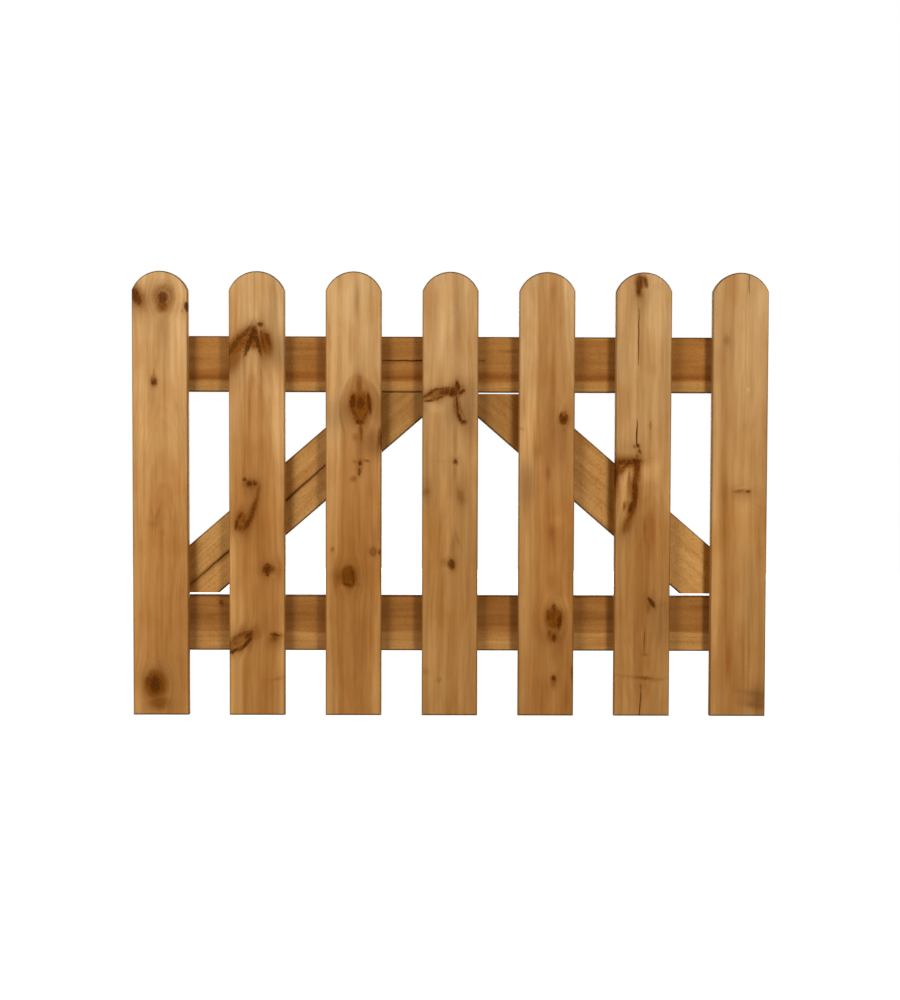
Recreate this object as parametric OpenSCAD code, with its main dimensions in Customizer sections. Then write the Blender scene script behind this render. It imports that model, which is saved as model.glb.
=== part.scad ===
// Leaf of a low garden gate: round-topped pales on two rails, with a pair of braces that rise from
// the outer ends of the lower rail and lean together under the middle of the upper rail.
//
// The origin is the seat of the lower hinge: on the back face of the lower rail, halfway up the rail
// and in line with the middle of the first pale. +X runs across the gate to the latch side, +Y points
// out of the back of the gate, and +Z is up.

/* [Gate] */
// Width over the outer pales
gate_w = 1000; // [800:10:1200]
// Number of pales across the gate
pale_count = 7; // [5:1:9]

/* [Pales] */
// Height of a pale, from its foot to the top of its crown
pale_h = 700; // [600:10:900]
// Width of a pale
pale_w = 88; // [70:1:100]
// Thickness of a pale
pale_t = 18; // [14:1:24]
// Rise of the round crown above the shoulders of the pale
crown_rise = 30.5; // [20:0.5:34]

/* [Rails] */
// Width of a rail, up the gate
rail_w = 88; // [70:1:100]
// Thickness of a rail
rail_t = 18; // [14:1:24]
// From the foot of the pales up to the lower rail
lower_rail_up = 101; // [60:1:130]
// From the top of the pales down to the upper rail
upper_rail_down = 101; // [60:1:130]

/* [Braces] */
// Width of a brace
brace_w = 88; // [70:1:100]
// Thickness of a brace
brace_t = 18; // [14:1:24]
// Gap between the heel of a brace and the lower rail
heel_gap = 4; // [1:0.5:6]
// Gap between the head of a brace and the upper rail
head_gap = 2; // [1:0.5:6]
// Gap between the two heads where they come together
tip_gap = 1; // [0.5:0.5:6]

/* [Planing] */
// Radius planed along the edges of every board
eased_edge = 3; // [1:0.5:5]

/* [Hidden] */
// The boards, in the order they are nailed up

$fn = 96;
pale_colour = "#bd8c57";
rail_colour = "#a5763f";
brace_colour = "#ac7d47";

// Across the gate
pale_pitch = (gate_w - pale_w) / (pale_count - 1);
left_edge = -pale_w / 2;
right_edge = left_edge + gate_w;

// Up the gate
foot_z = -(lower_rail_up + rail_w / 2);
lower_rail_top = rail_w / 2;
upper_rail_z = foot_z + pale_h - upper_rail_down - rail_w / 2;
upper_rail_underside = upper_rail_z - rail_w / 2;
heel_z = lower_rail_top + heel_gap;
head_z = upper_rail_underside - head_gap;

// Through the gate: pales in front, rails and braces flat against their backs
pale_back = -rail_t;
brace_y = pale_back + brace_t / 2;

// The crown is an arc from shoulder to shoulder
crown_r = (pow(pale_w / 2, 2) + pow(crown_rise, 2)) / (2 * crown_rise);

// A brace fills its half of the panel between the rails. Its upper edge starts at the heel tip and
// its lower edge ends at the head tip, so it leans back from the line between the two tips by the
// angle that its width takes up along that line.
brace_run = (gate_w - tip_gap) / 2;
brace_rise = head_z - heel_z;
tip_to_tip = norm([brace_run, brace_rise]);
brace_angle = atan2(brace_rise, brace_run) + asin(brace_w / tip_to_tip);
brace_length = brace_run * cos(brace_angle) + brace_rise * sin(brace_angle);
sawing_allowance = 20;

// Cross-section of a planed board, centred on the origin, with its edges eased
module board_section(w, t)
{
    square([w - 2 * eased_edge, t], center = true);
    square([w, t - 2 * eased_edge], center = true);
    for (x = [-1, 1], y = [-1, 1])
        translate([x * (w / 2 - eased_edge), y * (t / 2 - eased_edge)])
            circle(r = eased_edge);
}

// Board lying along +X from the origin, with its width up Z
module lying_board(length, w, t)
{
    rotate([0, 90, 0])
        linear_extrude(height = length)
            board_section(w, t);
}

// Disc on edge with a rounded rim, facing along Y, that shapes the top of a pale
module crown_disc()
{
    rotate([90, 0, 0])
        rotate_extrude()
            intersection() {
                board_section(2 * crown_r, pale_t);
                translate([0, -pale_t])
                    square([2 * crown_r, 2 * pale_t]);
            }
}

// Pale in its place across the gate, counted from the hinge side
module pale(place)
{
    crown_centre = pale_h - crown_r;
    color(pale_colour)
        translate([(place - 1) * pale_pitch, pale_back - pale_t / 2, foot_z])
            intersection() {
                linear_extrude(height = pale_h)
                    board_section(pale_w, pale_t);
                union() {
                    translate([0, 0, crown_centre])
                        crown_disc();
                    translate([-pale_w, -pale_t / 2, 0])
                        cube([2 * pale_w, pale_t, crown_centre]);
                }
            }
}

// Rail running the full width of the gate, with its middle at the given height
module rail(z)
{
    translate([left_edge, -rail_t / 2, z])
        lying_board(gate_w, rail_w, rail_t);
}

module lower_rail() { color(rail_colour) rail(0); }
module upper_rail() { color(rail_colour) rail(upper_rail_z); }

// Brace with its heel tip at the origin, leaning towards +X and sawn level at both ends
module brace()
{
    intersection() {
        rotate([0, -brace_angle, 0])
            translate([-sawing_allowance, 0, -brace_w / 2])
                lying_board(brace_length + 2 * sawing_allowance, brace_w, brace_t);
        translate([-sawing_allowance, -brace_t, 0])
            cube([brace_run + 2 * sawing_allowance, 2 * brace_t, brace_rise]);
    }
}

module left_brace()
{
    color(brace_colour)
        translate([left_edge, brace_y, heel_z])
            brace();
}

module right_brace()
{
    color(brace_colour)
        translate([right_edge, brace_y, heel_z])
            mirror([1, 0, 0])
                brace();
}

for (i = [1:pale_count])
    pale(i);

lower_rail();
upper_rail();
left_brace();
right_brace();
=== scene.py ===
# %% [markdown]
# # A low garden gate in stained softwood
# The gate is a leaf of seven round-topped pales, nailed to two rails, with two braces that lean
# together behind the middle pale. The frame already says where every board is and how big it is, so
# the boards could be shown just as they are, under one wood material. They are made anew here,
# because what tells real timber from a plain block is on its surface: eased edges, sawn ends, cracks
# that part the face, and grain that runs through the whole board and bends round its knots.

# %% Load the frame
from math import asin, atan2, copysign, cos, degrees, exp, hypot, pi, radians, sin

import bmesh
import bpy
from mathutils import Euler, Matrix, Vector, noise


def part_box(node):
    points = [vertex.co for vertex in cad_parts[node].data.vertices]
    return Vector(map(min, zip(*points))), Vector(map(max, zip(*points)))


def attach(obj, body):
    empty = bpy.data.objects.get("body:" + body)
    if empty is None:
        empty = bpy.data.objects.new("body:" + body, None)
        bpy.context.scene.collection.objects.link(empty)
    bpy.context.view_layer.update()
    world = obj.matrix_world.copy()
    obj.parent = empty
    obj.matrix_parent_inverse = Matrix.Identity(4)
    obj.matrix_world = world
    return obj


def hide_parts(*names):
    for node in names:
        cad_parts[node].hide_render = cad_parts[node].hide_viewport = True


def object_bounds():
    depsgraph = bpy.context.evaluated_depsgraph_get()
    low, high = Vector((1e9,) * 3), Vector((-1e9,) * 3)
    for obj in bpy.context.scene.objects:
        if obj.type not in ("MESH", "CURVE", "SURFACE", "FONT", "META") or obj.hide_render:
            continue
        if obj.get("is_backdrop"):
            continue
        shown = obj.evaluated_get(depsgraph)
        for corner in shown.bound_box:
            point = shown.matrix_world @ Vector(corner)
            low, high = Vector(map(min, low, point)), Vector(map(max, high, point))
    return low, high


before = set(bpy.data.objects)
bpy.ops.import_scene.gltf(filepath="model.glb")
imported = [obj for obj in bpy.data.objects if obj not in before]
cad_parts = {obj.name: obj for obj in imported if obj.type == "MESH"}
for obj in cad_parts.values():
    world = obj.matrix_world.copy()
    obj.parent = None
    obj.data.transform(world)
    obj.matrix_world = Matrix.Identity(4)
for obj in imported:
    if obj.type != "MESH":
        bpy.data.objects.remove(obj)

cad_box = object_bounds()
MM = 0.001
print("gate, in mm:", [round(side / MM) for side in cad_box[1] - cad_box[0]])

# %% [markdown]
# ## Boards and the way their grain runs
# Every board was sawn from a log, so it is described the way a sawyer sees it: across the board is
# its own X, through its thickness is Y with the front at minus Y, and the grain runs along Z. A pale
# stands with its grain upright. A rail is the same board laid down, and a brace is one that leans.
# Each board could also be shaped straight in its place in the gate, but then every shape and pattern
# would be written three times, once for each way that a board lies. In the sawn frame they are
# written once, and the mesh and its grain always agree.

# %% Boards
class Board:
    """A board in its place: sizes in metres, and the turn from sawn frame to gate."""

    def __init__(self, node, slot, lean=0.0, size=None):
        low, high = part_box(node)
        self.node, self.slot = node, slot
        self.centre = (low + high) / 2
        self.turn = Euler((0, lean, 0))
        self.width, self.thickness, self.length = size or (high - low)
        self.front = -self.thickness / 2
        self.level_cuts = None
        self.to_gate = Matrix.Translation(self.centre) @ self.turn.to_matrix().to_4x4()
        self.along = self.turn.to_matrix() @ Vector((0, 0, 1))
        self.across = self.turn.to_matrix() @ Vector((1, 0, 0))


pale_nodes = sorted(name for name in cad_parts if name.startswith("pale_"))
pales = [Board(name, "pales") for name in pale_nodes]
STOCK_WIDTH = pales[0].width
print("pales:", len(pales), "boards,", round(STOCK_WIDTH / MM), "mm wide")

# %% [markdown]
# ## Where the rails and braces lie
# The rails tie the pales together, and the braces keep the leaf from sagging out of square. A rail's
# box gives its size at once, with length and width changed over. A brace's box says only which panel
# it fills. Its lean could be measured on the mesh, but a board that fills a panel corner to corner
# has just one lean for its width, so it is worked out. Both ends of a brace are sawn level, to lie
# along the rails. The head of the left one fits closer under its rail, so it is left a little taller.

# %% Rails and braces in their places
HEAD_RAISED = 1.8 * MM


def laid_board(node):
    low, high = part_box(node)
    size = (high.z - low.z, high.y - low.y, high.x - low.x)
    return Board(node, "rails", radians(90), size)


def leaning_board(node, towards, head_raised=0.0):
    """A brace from corner to corner of its panel, leaning towards the right (1) or the left (-1)."""
    low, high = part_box(node)
    run, rise = high.x - low.x, high.z - low.z
    lean = atan2(rise, run) + asin(STOCK_WIDTH / hypot(run, rise))
    size = (STOCK_WIDTH, high.y - low.y, run * cos(lean) + rise * sin(lean))
    board = Board(node, "braces", towards * (pi / 2 - lean), size)
    board.level_cuts = (-rise / 2, rise / 2 + head_raised)
    return board


rails = [laid_board("lower_rail"), laid_board("upper_rail")]
braces = [leaning_board("left_brace", 1, HEAD_RAISED), leaning_board("right_brace", -1)]
print("brace lean:", round(90 - degrees(abs(braces[0].turn.y)), 1), "degrees")

# %% [markdown]
# ## Shader maths in plain Python
# A wood pattern is a long sum of small fields: distance to the middle of the tree, noise, distance
# to each knot. It could be wired by hand in the shader editor, but that hides the idea in a web of
# links. It could be a picture laid on each board, but then the ends and edges wouldn't match the
# face. So one small class stands for a socket, and Python's own signs add the Math nodes to it.

# %% A value on the surface
class Value:
    """A socket whose value varies over the surface."""

    def __init__(self, nodes, socket):
        self.nodes, self.socket = nodes, socket

    def __add__(self, other):
        return self.nodes.math("ADD", self, other)

    def __sub__(self, other):
        return self.nodes.math("SUBTRACT", self, other)

    def __rsub__(self, other):
        return self.nodes.math("SUBTRACT", other, self)

    def __mul__(self, other):
        return self.nodes.math("MULTIPLY", self, other)

    def __truediv__(self, other):
        return self.nodes.math("DIVIDE", self, other)

    __radd__, __rmul__ = __add__, __mul__


print("a value answers to:", "+ - * /")

# %% [markdown]
# ## Nodes written like a recipe
# Every other node comes from one method. It takes the node's type, its settings and what goes into
# its sockets, and hands back what comes out. The short methods after it are the few steps that wood
# needs over and over: a smooth rise, a mix of two colours, and noise that is stretched with the
# grain. They could be spelled out each time, but a name says sooner what a step is for.

# %% The nodes of a tree
SEED_STEPS = (13.7, 7.9, 31.3)


class Nodes:
    """A node tree under construction."""

    def __init__(self, tree):
        self.tree = tree

    def feed(self, socket, value):
        if isinstance(value, Value):
            self.tree.links.new(value.socket, socket)
        else:
            socket.default_value = value

    def node(self, kind, settings=None, sockets=None, out=0):
        made = self.tree.nodes.new(kind)
        for name, setting in (settings or {}).items():
            if name == "stops":
                self.set_stops(made.color_ramp, setting)
            else:
                setattr(made, name, setting)
        for name, value in (sockets or {}).items():
            self.feed(made.inputs[name], value)
        return None if out is None else Value(self, made.outputs[out])

    def set_stops(self, ramp, stops):
        ramp.interpolation = "B_SPLINE"
        while len(ramp.elements) < len(stops):
            ramp.elements.new(1.0)
        for element, (place, level) in zip(ramp.elements, stops):
            element.position = place
            element.color = level

    def math(self, operation, *values):
        return self.node("ShaderNodeMath", {"operation": operation}, dict(enumerate(values)))

    def vector(self, operation, *values, out=0):
        return self.node("ShaderNodeVectorMath", {"operation": operation}, dict(enumerate(values)), out)

    def outputs(self, value):
        return [Value(self, socket) for socket in value.socket.node.outputs]

    def parts(self, vector):
        return self.outputs(self.node("ShaderNodeSeparateXYZ", {}, {0: vector}))

    def step(self, value, start, stop, low=0.0, high=1.0):
        """Goes smoothly from low to high as value goes from start to stop."""
        levels = {"Value": value, "From Min": start, "From Max": stop, "To Min": low, "To Max": high}
        return self.node("ShaderNodeMapRange", {"interpolation_type": "SMOOTHSTEP"}, levels)

    def mix(self, amount, first, second, blend="MIX"):
        settings = {"data_type": "RGBA", "blend_type": blend, "clamp_factor": True}
        return self.node("ShaderNodeMix", settings, {0: amount, 6: first, 7: second}, out=2)

    def noise(self, place, stretch, seed, detail=2.0, roughness=0.5, out=0):
        """Noise with so many turns to each unit of length, moved somewhere else by its seed."""
        shift = tuple(seed * step for step in SEED_STEPS)
        spot = self.vector("MULTIPLY_ADD", place, stretch, shift)
        sockets = {"Vector": spot, "Scale": 1.0, "Detail": detail, "Roughness": roughness}
        return self.node("ShaderNodeTexNoise", {}, sockets, out)


trial = bpy.data.node_groups.new("trial", "ShaderNodeTree")
mask = Nodes(trial).math("ADD", 0.25, 0.25)
print("1 - mask * 0.5 ends in a node that does:", (1 - mask * 0.5).socket.node.operation)
print("nodes it took, with the mask:", len(trial.nodes))
bpy.data.node_groups.remove(trial)

# %% [markdown]
# ## A finish
# What a maker calls a finish is a material here: a Principled shader with fields that run into its
# sockets. It is a tree like any other, so it takes over all the methods above and adds two of its
# own. Stain is a thin coat that lets part of the light through, so it is multiplied with what lies
# under it. Mixing in a brown instead would hide the grain, as paint does.

# %% A finish
class Finish(Nodes):
    """A material being put together round its Principled shader."""

    def __init__(self, name):
        self.material = bpy.data.materials.new(name)
        self.material.use_nodes = True
        super().__init__(self.material.node_tree)
        self.shader = self.tree.nodes["Principled BSDF"]

    def on(self, socket, value):
        self.feed(self.shader.inputs[socket], value)

    def tint(self, colour, amount, stain):
        """Darkens a colour by so much of a stain, as a thin coat does."""
        return self.mix(amount, colour, stain, "MULTIPLY")


trial = Finish("trial")
print("a finish starts with:", ", ".join(node.name for node in trial.tree.nodes))
bpy.data.materials.remove(trial.material)

# %% [markdown]
# ## Knots and other marks
# A knot is the foot of a branch. The rings swell over it and the fibres part round it, so a knot
# does three things: it stains its own oval, it lifts the rings near it, and it pushes fibres aside.
# Each could be modelled as a plug or painted on by hand. Here every mark is an oval with a short
# profile of darkness from its middle outwards. An oval takes only a few numbers, which can be read
# off a board with a ruler, and a branching stain is a few ovals that overlap. Besides knots there
# are spikes and brushed resin, soft stains, and places that are paler, warmer or duller.

# %% Kinds of mark
# Each kind names its layer, whether it moves the grain, and its darkness from the middle (0) outwards.
# The outline that is measured on a board lies at OVAL_EDGE.
OVAL_EDGE = 0.4
MARKS = {
    "knot": ("dark", True, ((0, 1.0), (0.20, 0.98), (0.33, 0.85), (0.44, 0.42), (0.58, 0.16), (1, 0))),
    "body": ("amber", True, ((0, 1.0), (0.26, 1.0), (0.36, 0.9), (0.44, 0.5), (0.54, 0.14), (0.8, 0))),
    "eye": ("dark", True, ((0, 0.25), (0.18, 0.35), (0.31, 0.95), (0.40, 0.95), (0.52, 0.3),
                           (0.75, 0.06), (1, 0))),
    "spike": ("dark", False, ((0, 1.0), (0.26, 0.97), (0.38, 0.8), (0.46, 0.3), (0.6, 0.06), (1, 0))),
    "brush": ("amber", False, ((0, 1.0), (0.22, 0.96), (0.35, 0.78), (0.47, 0.36), (0.64, 0.1), (1, 0))),
    "stain": ("stain", False, ((0, 1.0), (0.2, 0.9), (0.45, 0.4), (0.75, 0.08), (1, 0))),
    "pale": ("pale", False, ((0, 1.0), (0.26, 0.9), (0.42, 0.4), (0.6, 0.08), (1, 0))),
    "warm": ("warm", False, ((0, 1.0), (0.26, 0.8), (0.45, 0.35), (0.7, 0.06), (1, 0))),
    "dull": ("dull", False, ((0, 1.0), (0.26, 0.85), (0.42, 0.45), (0.65, 0.1), (1, 0))),
}
MARK_LAYERS = ("dark", "amber", "stain", "pale", "warm", "dull")
print("kinds of mark:", ", ".join(MARKS))

# %% [markdown]
# ## One recipe for each kind of mark
# Most pales have forty marks or more. If each were wired out in full, the busiest shader would grow
# past a thousand nodes. So the nodes of one kind are put in a node group, which is then one node
# wherever it is used. Marks of one layer are chained, and each keeps the darker of itself and the
# marks before it, because two stains that overlap don't make a third that is darker than both.

# %% One mark as one node
MARK_INPUTS = ("Middle", "Height", "Cosine", "Sine", "Half width", "Half height",
               "Strength", "Layer", "Swell", "Push")
MARK_OUTPUTS = ("Layer", "Swell", "Push")

# A knot lifts the rings by a share of its half width and pushes the fibres aside by another. Both
# die away between two distances from its middle.
LIFT_FULL, LIFT_GONE = 0.1, 1.1
SWELL_SHARE, PUSH_SHARE = 0.3, 0.75


def mark_recipe(kind):
    """The nodes of one kind of mark, kept as a group, so that every mark of that kind is one node.
    It adds its oval to the layer so far, and a knot adds its swell and its push as well."""
    _, moves_grain, profile = MARKS[kind]
    tree = bpy.data.node_groups.new("mark_" + kind, "ShaderNodeTree")
    tree.interface.new_socket("Place", in_out="INPUT", socket_type="NodeSocketVector")
    for name in MARK_INPUTS:
        tree.interface.new_socket(name, in_out="INPUT", socket_type="NodeSocketFloat")
    for name in MARK_OUTPUTS:
        tree.interface.new_socket(name, in_out="OUTPUT", socket_type="NodeSocketFloat")
    nodes = Nodes(tree)
    entries = nodes.outputs(nodes.node("NodeGroupInput"))
    place, middle, height, cosine, sine, half_width, half_height = entries[:7]
    strength, before, swell, push = entries[7:11]
    across, _, up = nodes.parts(place)
    x, z = across - middle, up - height
    beside = (x * cosine - z * sine) / half_width
    along = (x * sine + z * cosine) / half_height
    away = nodes.math("SQRT", beside * beside + along * along)
    stops = [(at, (level,) * 4) for at, level in profile]
    level = nodes.node("ShaderNodeValToRGB", {"stops": stops}, {"Fac": away}, out="Alpha") * strength
    if moves_grain:
        lift = nodes.step(away, LIFT_FULL, LIFT_GONE, 1.0, 0.0) * half_width
        swell = lift * SWELL_SHARE + swell
        push = lift * beside * PUSH_SHARE + push
    nodes.node("NodeGroupOutput", {}, {
        "Layer": nodes.math("MAXIMUM", before, level), "Swell": swell, "Push": push}, out=None)
    return tree


recipes = {kind: mark_recipe(kind) for kind in MARKS}
print("nodes in a knot and in a stain:", len(recipes["knot"].nodes), len(recipes["stain"].nodes))

# %% [markdown]
# ## How a board was cut from its tree
# A tree adds a ring each year: pale earlywood, then a thin dark line of latewood. A board is a slice
# through those rings, and its pith, the middle of the tree, lies beside or behind it. The ready-made
# Wave texture draws even stripes, which look like wood only on a short piece. Here the pith is a path
# that wanders up the board, and the distance to it, counted in rings, is the age of the wood. Faces,
# edges and ends all read the same age, so a ring that runs off a face carries on over the edge.

# %% Grain
class Grain:
    """How a board was cut from its tree, in millimetres. The heart is a path up the board: at each
    height, where its middle lies across and how far to each side its darker wood reaches on the
    front. Where the reach is negative the heart stays that deep behind the face."""

    def __init__(self, heart, heart_radius=56, heart_edge=2.0, ring=3.4, lightness=1.0, heart_depth=1.0,
                 marks=(), cracks=()):
        self.heart, self.heart_radius, self.heart_edge = heart, heart_radius, heart_edge
        self.ring, self.lightness, self.heart_depth = ring, lightness, heart_depth
        self.marks, self.cracks = marks, cracks

    def told(self):
        return f"{len(self.marks)} marks, {len(self.cracks)} cracks"


print("a plain board:", Grain([(0, 0, 20)]).told())

# %% [markdown]
# ## The grain of each pale
# No two boards of a real gate are alike, and one material on all seven pales would give it away. Noise could
# scatter knots at random, but each pale here is a board of its own, so its marks are listed one by one, from
# the front, foot to crown. A mark is a kind, its middle across and up from the foot, its width and height,
# its tilt in degrees to the right, and how strong it is, with all lengths in millimetres. A crack is a start
# and an end, each across and up, with its width and depth.

# %% Pale 1
# A round knot under the crown and one near the foot, a cut branch on the left shoulder, and a
# small knot between them. The heart shows broad and soft in the lower half.
pale_1 = Grain(
    [(0, 5, 38), (150, 6, 38), (300, 8, 34), (420, 6, 20), (500, 2, -4), (700, 2, -12)],
    heart_edge=12.0, heart_depth=0.55, lightness=1.06,
    marks=[
        ("spike", -38, 661, 14, 32, -30, 0.95),
        ("brush", -36, 661, 24, 40, -28, 0.75),
        ("stain", -34, 650, 28, 50, -20, 0.5),
        ("stain", -41, 674, 14, 26, 0, 0.4),
        ("knot", 5, 658, 18, 21, 0, 0.95),
        ("spike", 4, 654, 13, 11, 0, 0.6),
        ("eye", 5.5, 660, 29, 31, 0, 0.6),
        ("stain", 5, 662, 36, 32, 0, 0.45),
        ("brush", 4.5, 644, 15, 15, 0, 0.95),
        ("stain", 5, 640, 28, 20, 0, 0.45),
        ("stain", 6, 610, 15, 80, 0, 0.55),
        ("stain", 5, 570, 7, 90, 0, 0.3),
        ("stain", -4, 560, 6, 44, 14, 0.25),
        ("pale", 31, 656, 18, 40, 0, 0.7),
        ("pale", 24, 604, 20, 60, 0, 0.4),
        ("spike", 42, 644, 7, 14, 0, 1.0),
        ("stain", 36.5, 646, 4, 22, 8, 0.45),
        ("spike", 35.5, 637, 4, 4, 0, 0.4),
        ("stain", 38, 642, 20, 20, 0, 0.4),
        ("knot", -9.2, 526, 9, 12, 0, 0.95),
        ("brush", -9, 527, 11, 17, 0, 0.6),
        ("spike", -9, 538, 3, 16, 0, 0.4),
        ("stain", -9, 505, 10, 40, 0, 0.25),
        ("pale", 18, 590, 34, 90, 0, 0.3),
        ("pale", -24, 480, 26, 110, 0, 0.35),
        ("stain", -12, 303, 14, 10, 0, 0.32),
        ("stain", -6, 315, 5, 24, 20, 0.35),
        ("stain", -13, 318, 4, 18, -10, 0.25),
        ("dull", 8, 305, 50, 22, 0, 0.25),
        ("stain", 3, 290, 7, 10, 0, 0.2),
        ("body", -9, 49, 33, 42, 0, 0.95),
        ("knot", -9, 49, 19, 30, 0, 0.95),
        ("spike", -20, 54, 9, 16, 0, 0.7),
        ("spike", 3, 46, 4, 24, -6, 0.5),
        ("stain", -10, 48, 44, 52, 0, 0.6),
        ("brush", -4, 20, 26, 20, 0, 0.8),
        ("brush", 2, 38, 12, 22, 20, 0.5),
        ("stain", -3, 20, 40, 26, 0, 0.5),
        ("pale", -37, 25, 14, 60, 10, 0.7),
        ("pale", -24, 62, 8, 20, 0, 0.4),
    ])
print("pale 1:", pale_1.told())

# %% Pale 2
# Two arms of resin under the crown, where a branch was cut lengthways, and a hook half way down,
# with small knots below it.
pale_2 = Grain(
    [(0, 2, 29), (150, 6, 27), (290, 8, 26), (420, 0, 27), (500, -4, 18), (560, -8, -3),
     (620, -6, -6), (700, -6, -10)],
    heart_edge=3.0, heart_depth=0.8, ring=4.0, lightness=1.06,
    marks=[
        ("stain", -3.4, 672, 4, 80, 0, 0.35),
        ("stain", -4, 630, 3, 40, 0, 0.25),
        ("dull", 27, 620, 16, 150, -2, 0.7),
        ("stain", 29, 640, 4, 130, -2, 0.3),
        ("stain", -24, 660, 4, 90, 0, 0.25),
        ("warm", -35, 610, 14, 110, 0, 0.8),
        ("pale", -4, 628, 12, 24, 0, 0.5),
        ("pale", 38, 620, 10, 60, 0, 0.5),
        ("brush", -27, 587, 27, 70, 42, 1.0),
        ("spike", -25, 597, 7, 52, 46, 0.8),
        ("spike", -37, 580, 9, 30, 38, 0.75),
        ("spike", -21, 588, 5, 26, 36, 0.35),
        ("brush", -37, 566, 24, 50, 24, 0.85),
        ("stain", -38, 552, 24, 44, 0, 0.55),
        ("spike", -11, 590, 8, 48, 19, 1.0),
        ("spike", 1.5, 590, 7, 44, -13, 1.0),
        ("knot", -4, 602, 13, 24, 0, 1.0),
        ("brush", -4, 588, 17, 20, 0, 1.0),
        ("brush", -9, 616, 7, 14, 30, 0.5),
        ("knot", 6, 616, 9, 7, 0, 0.95),
        ("spike", 9, 592, 5, 36, -11, 0.75),
        ("spike", 17.5, 592, 7, 26, -20, 0.8),
        ("spike", 15, 600, 12, 8, 0, 0.6),
        ("brush", 14, 588, 22, 40, -10, 1.0),
        ("stain", 12, 578, 34, 64, 0, 0.55),
        ("brush", 13, 568, 12, 14, 0, 0.4),
        ("stain", 7, 538, 6, 80, 0, 0.45),
        ("stain", -19, 552, 5, 56, 0, 0.45),
        ("stain", -8, 548, 3, 40, 0, 0.3),
        ("pale", -3, 552, 8, 44, 0, 0.6),
        ("dull", 32, 575, 26, 60, 0, 0.85),
        ("pale", 28, 540, 14, 60, -20, 0.5),
        ("pale", 37, 470, 16, 150, -3, 0.8),
        ("pale", -2, 490, 14, 120, 0, 0.4),
        ("stain", -12, 500, 4, 60, 0, 0.3),
        ("warm", -29, 370, 14, 110, 0, 0.9),
        ("spike", -19, 373, 8, 6, 20, 0.85),
        ("knot", -12, 366, 10, 9, 0, 1.0),
        ("spike", -8, 370, 14, 3, -20, 0.6),
        ("knot", -3, 367, 8, 7, 0, 0.95),
        ("brush", -8, 366, 22, 16, 0, 0.5),
        ("brush", 2, 353, 6, 26, 10, 0.75),
        ("stain", -6, 358, 28, 30, 0, 0.4),
        ("brush", -1, 337, 7, 26, 14, 0.7),
        ("spike", -7, 322, 7, 48, 17, 0.8),
        ("brush", -9, 318, 14, 54, 20, 0.75),
        ("spike", -15, 304, 7, 24, 28, 0.9),
        ("body", -26, 306, 18, 30, 8, 0.75),
        ("spike", -26, 297, 9, 7, 0, 0.6),
        ("spike", -32.5, 302, 5, 18, 8, 0.9),
        ("spike", -27, 315, 5, 16, 34, 0.75),
        ("spike", -21, 308, 5, 6, 0, 0.7),
        ("spike", -19, 316, 4, 5, 0, 0.6),
        ("pale", -23, 303, 3, 9, 20, 0.7),
        ("stain", -22, 303, 38, 50, 0, 0.5),
        ("warm", -22, 245, 14, 90, 0, 0.8),
        ("pale", -37, 235, 16, 130, 0, 0.8),
        ("pale", -6, 260, 8, 70, 0, 0.35),
        ("knot", 15.5, 231, 11, 14, 0, 1.0),
        ("spike", 10.5, 231, 4, 9, 0, 0.9),
        ("spike", 16, 238.5, 7, 5, 0, 0.9),
        ("spike", 16.5, 223, 6, 5, 0, 0.9),
        ("spike", 20.5, 233, 5, 14, 0, 0.85),
        ("spike", 25, 232, 5, 8, 0, 0.7),
        ("spike", 28, 233, 3, 5, 0, 0.5),
        ("pale", 21.5, 238, 5, 7, 0, 0.8),
        ("pale", 23, 222, 12, 5, 20, 0.8),
        ("pale", 30, 238, 6, 8, -30, 0.5),
        ("brush", 17, 231, 18, 18, 0, 0.5),
        ("stain", 19, 231, 28, 24, 0, 0.4),
        ("stain", 17, 216, 5, 20, 0, 0.3),
        ("warm", 36, 232, 8, 34, 0, 0.9),
        ("eye", -27, 116, 21, 46, 55, 0.7),
        ("brush", -28, 116, 15, 40, 55, 0.45),
        ("spike", -16, 115, 6, 28, 38, 1.0),
        ("spike", -25, 106, 5, 16, 60, 0.8),
        ("spike", -37, 102, 6, 18, 60, 0.95),
        ("pale", -29, 111, 3, 24, 60, 0.9),
        ("pale", -24, 121, 3, 22, 60, 0.6),
        ("spike", -13, 128, 8, 18, 50, 0.9),
        ("spike", -26, 128, 6, 34, 66, 0.7),
        ("spike", -36, 114, 4, 12, 70, 0.6),
        ("stain", -22, 124, 30, 60, 60, 0.5),
        ("knot", 28, 128, 14, 6, 8, 0.95),
        ("spike", 30, 128, 13, 4, 4, 1.0),
        ("spike", 27, 122, 6, 5, 0, 0.7),
        ("brush", 27, 121, 13, 10, 0, 0.6),
        ("stain", 27, 118, 22, 20, 0, 0.45),
        ("stain", 33, 58, 18, 4, -15, 0.45),
        ("pale", -39, 45, 9, 110, 0, 0.6),
        ("pale", -39, 175, 10, 130, 0, 0.7),
        ("pale", 38, 100, 9, 170, 0, 0.6),
    ])
print("pale 2:", pale_2.told())

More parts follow.
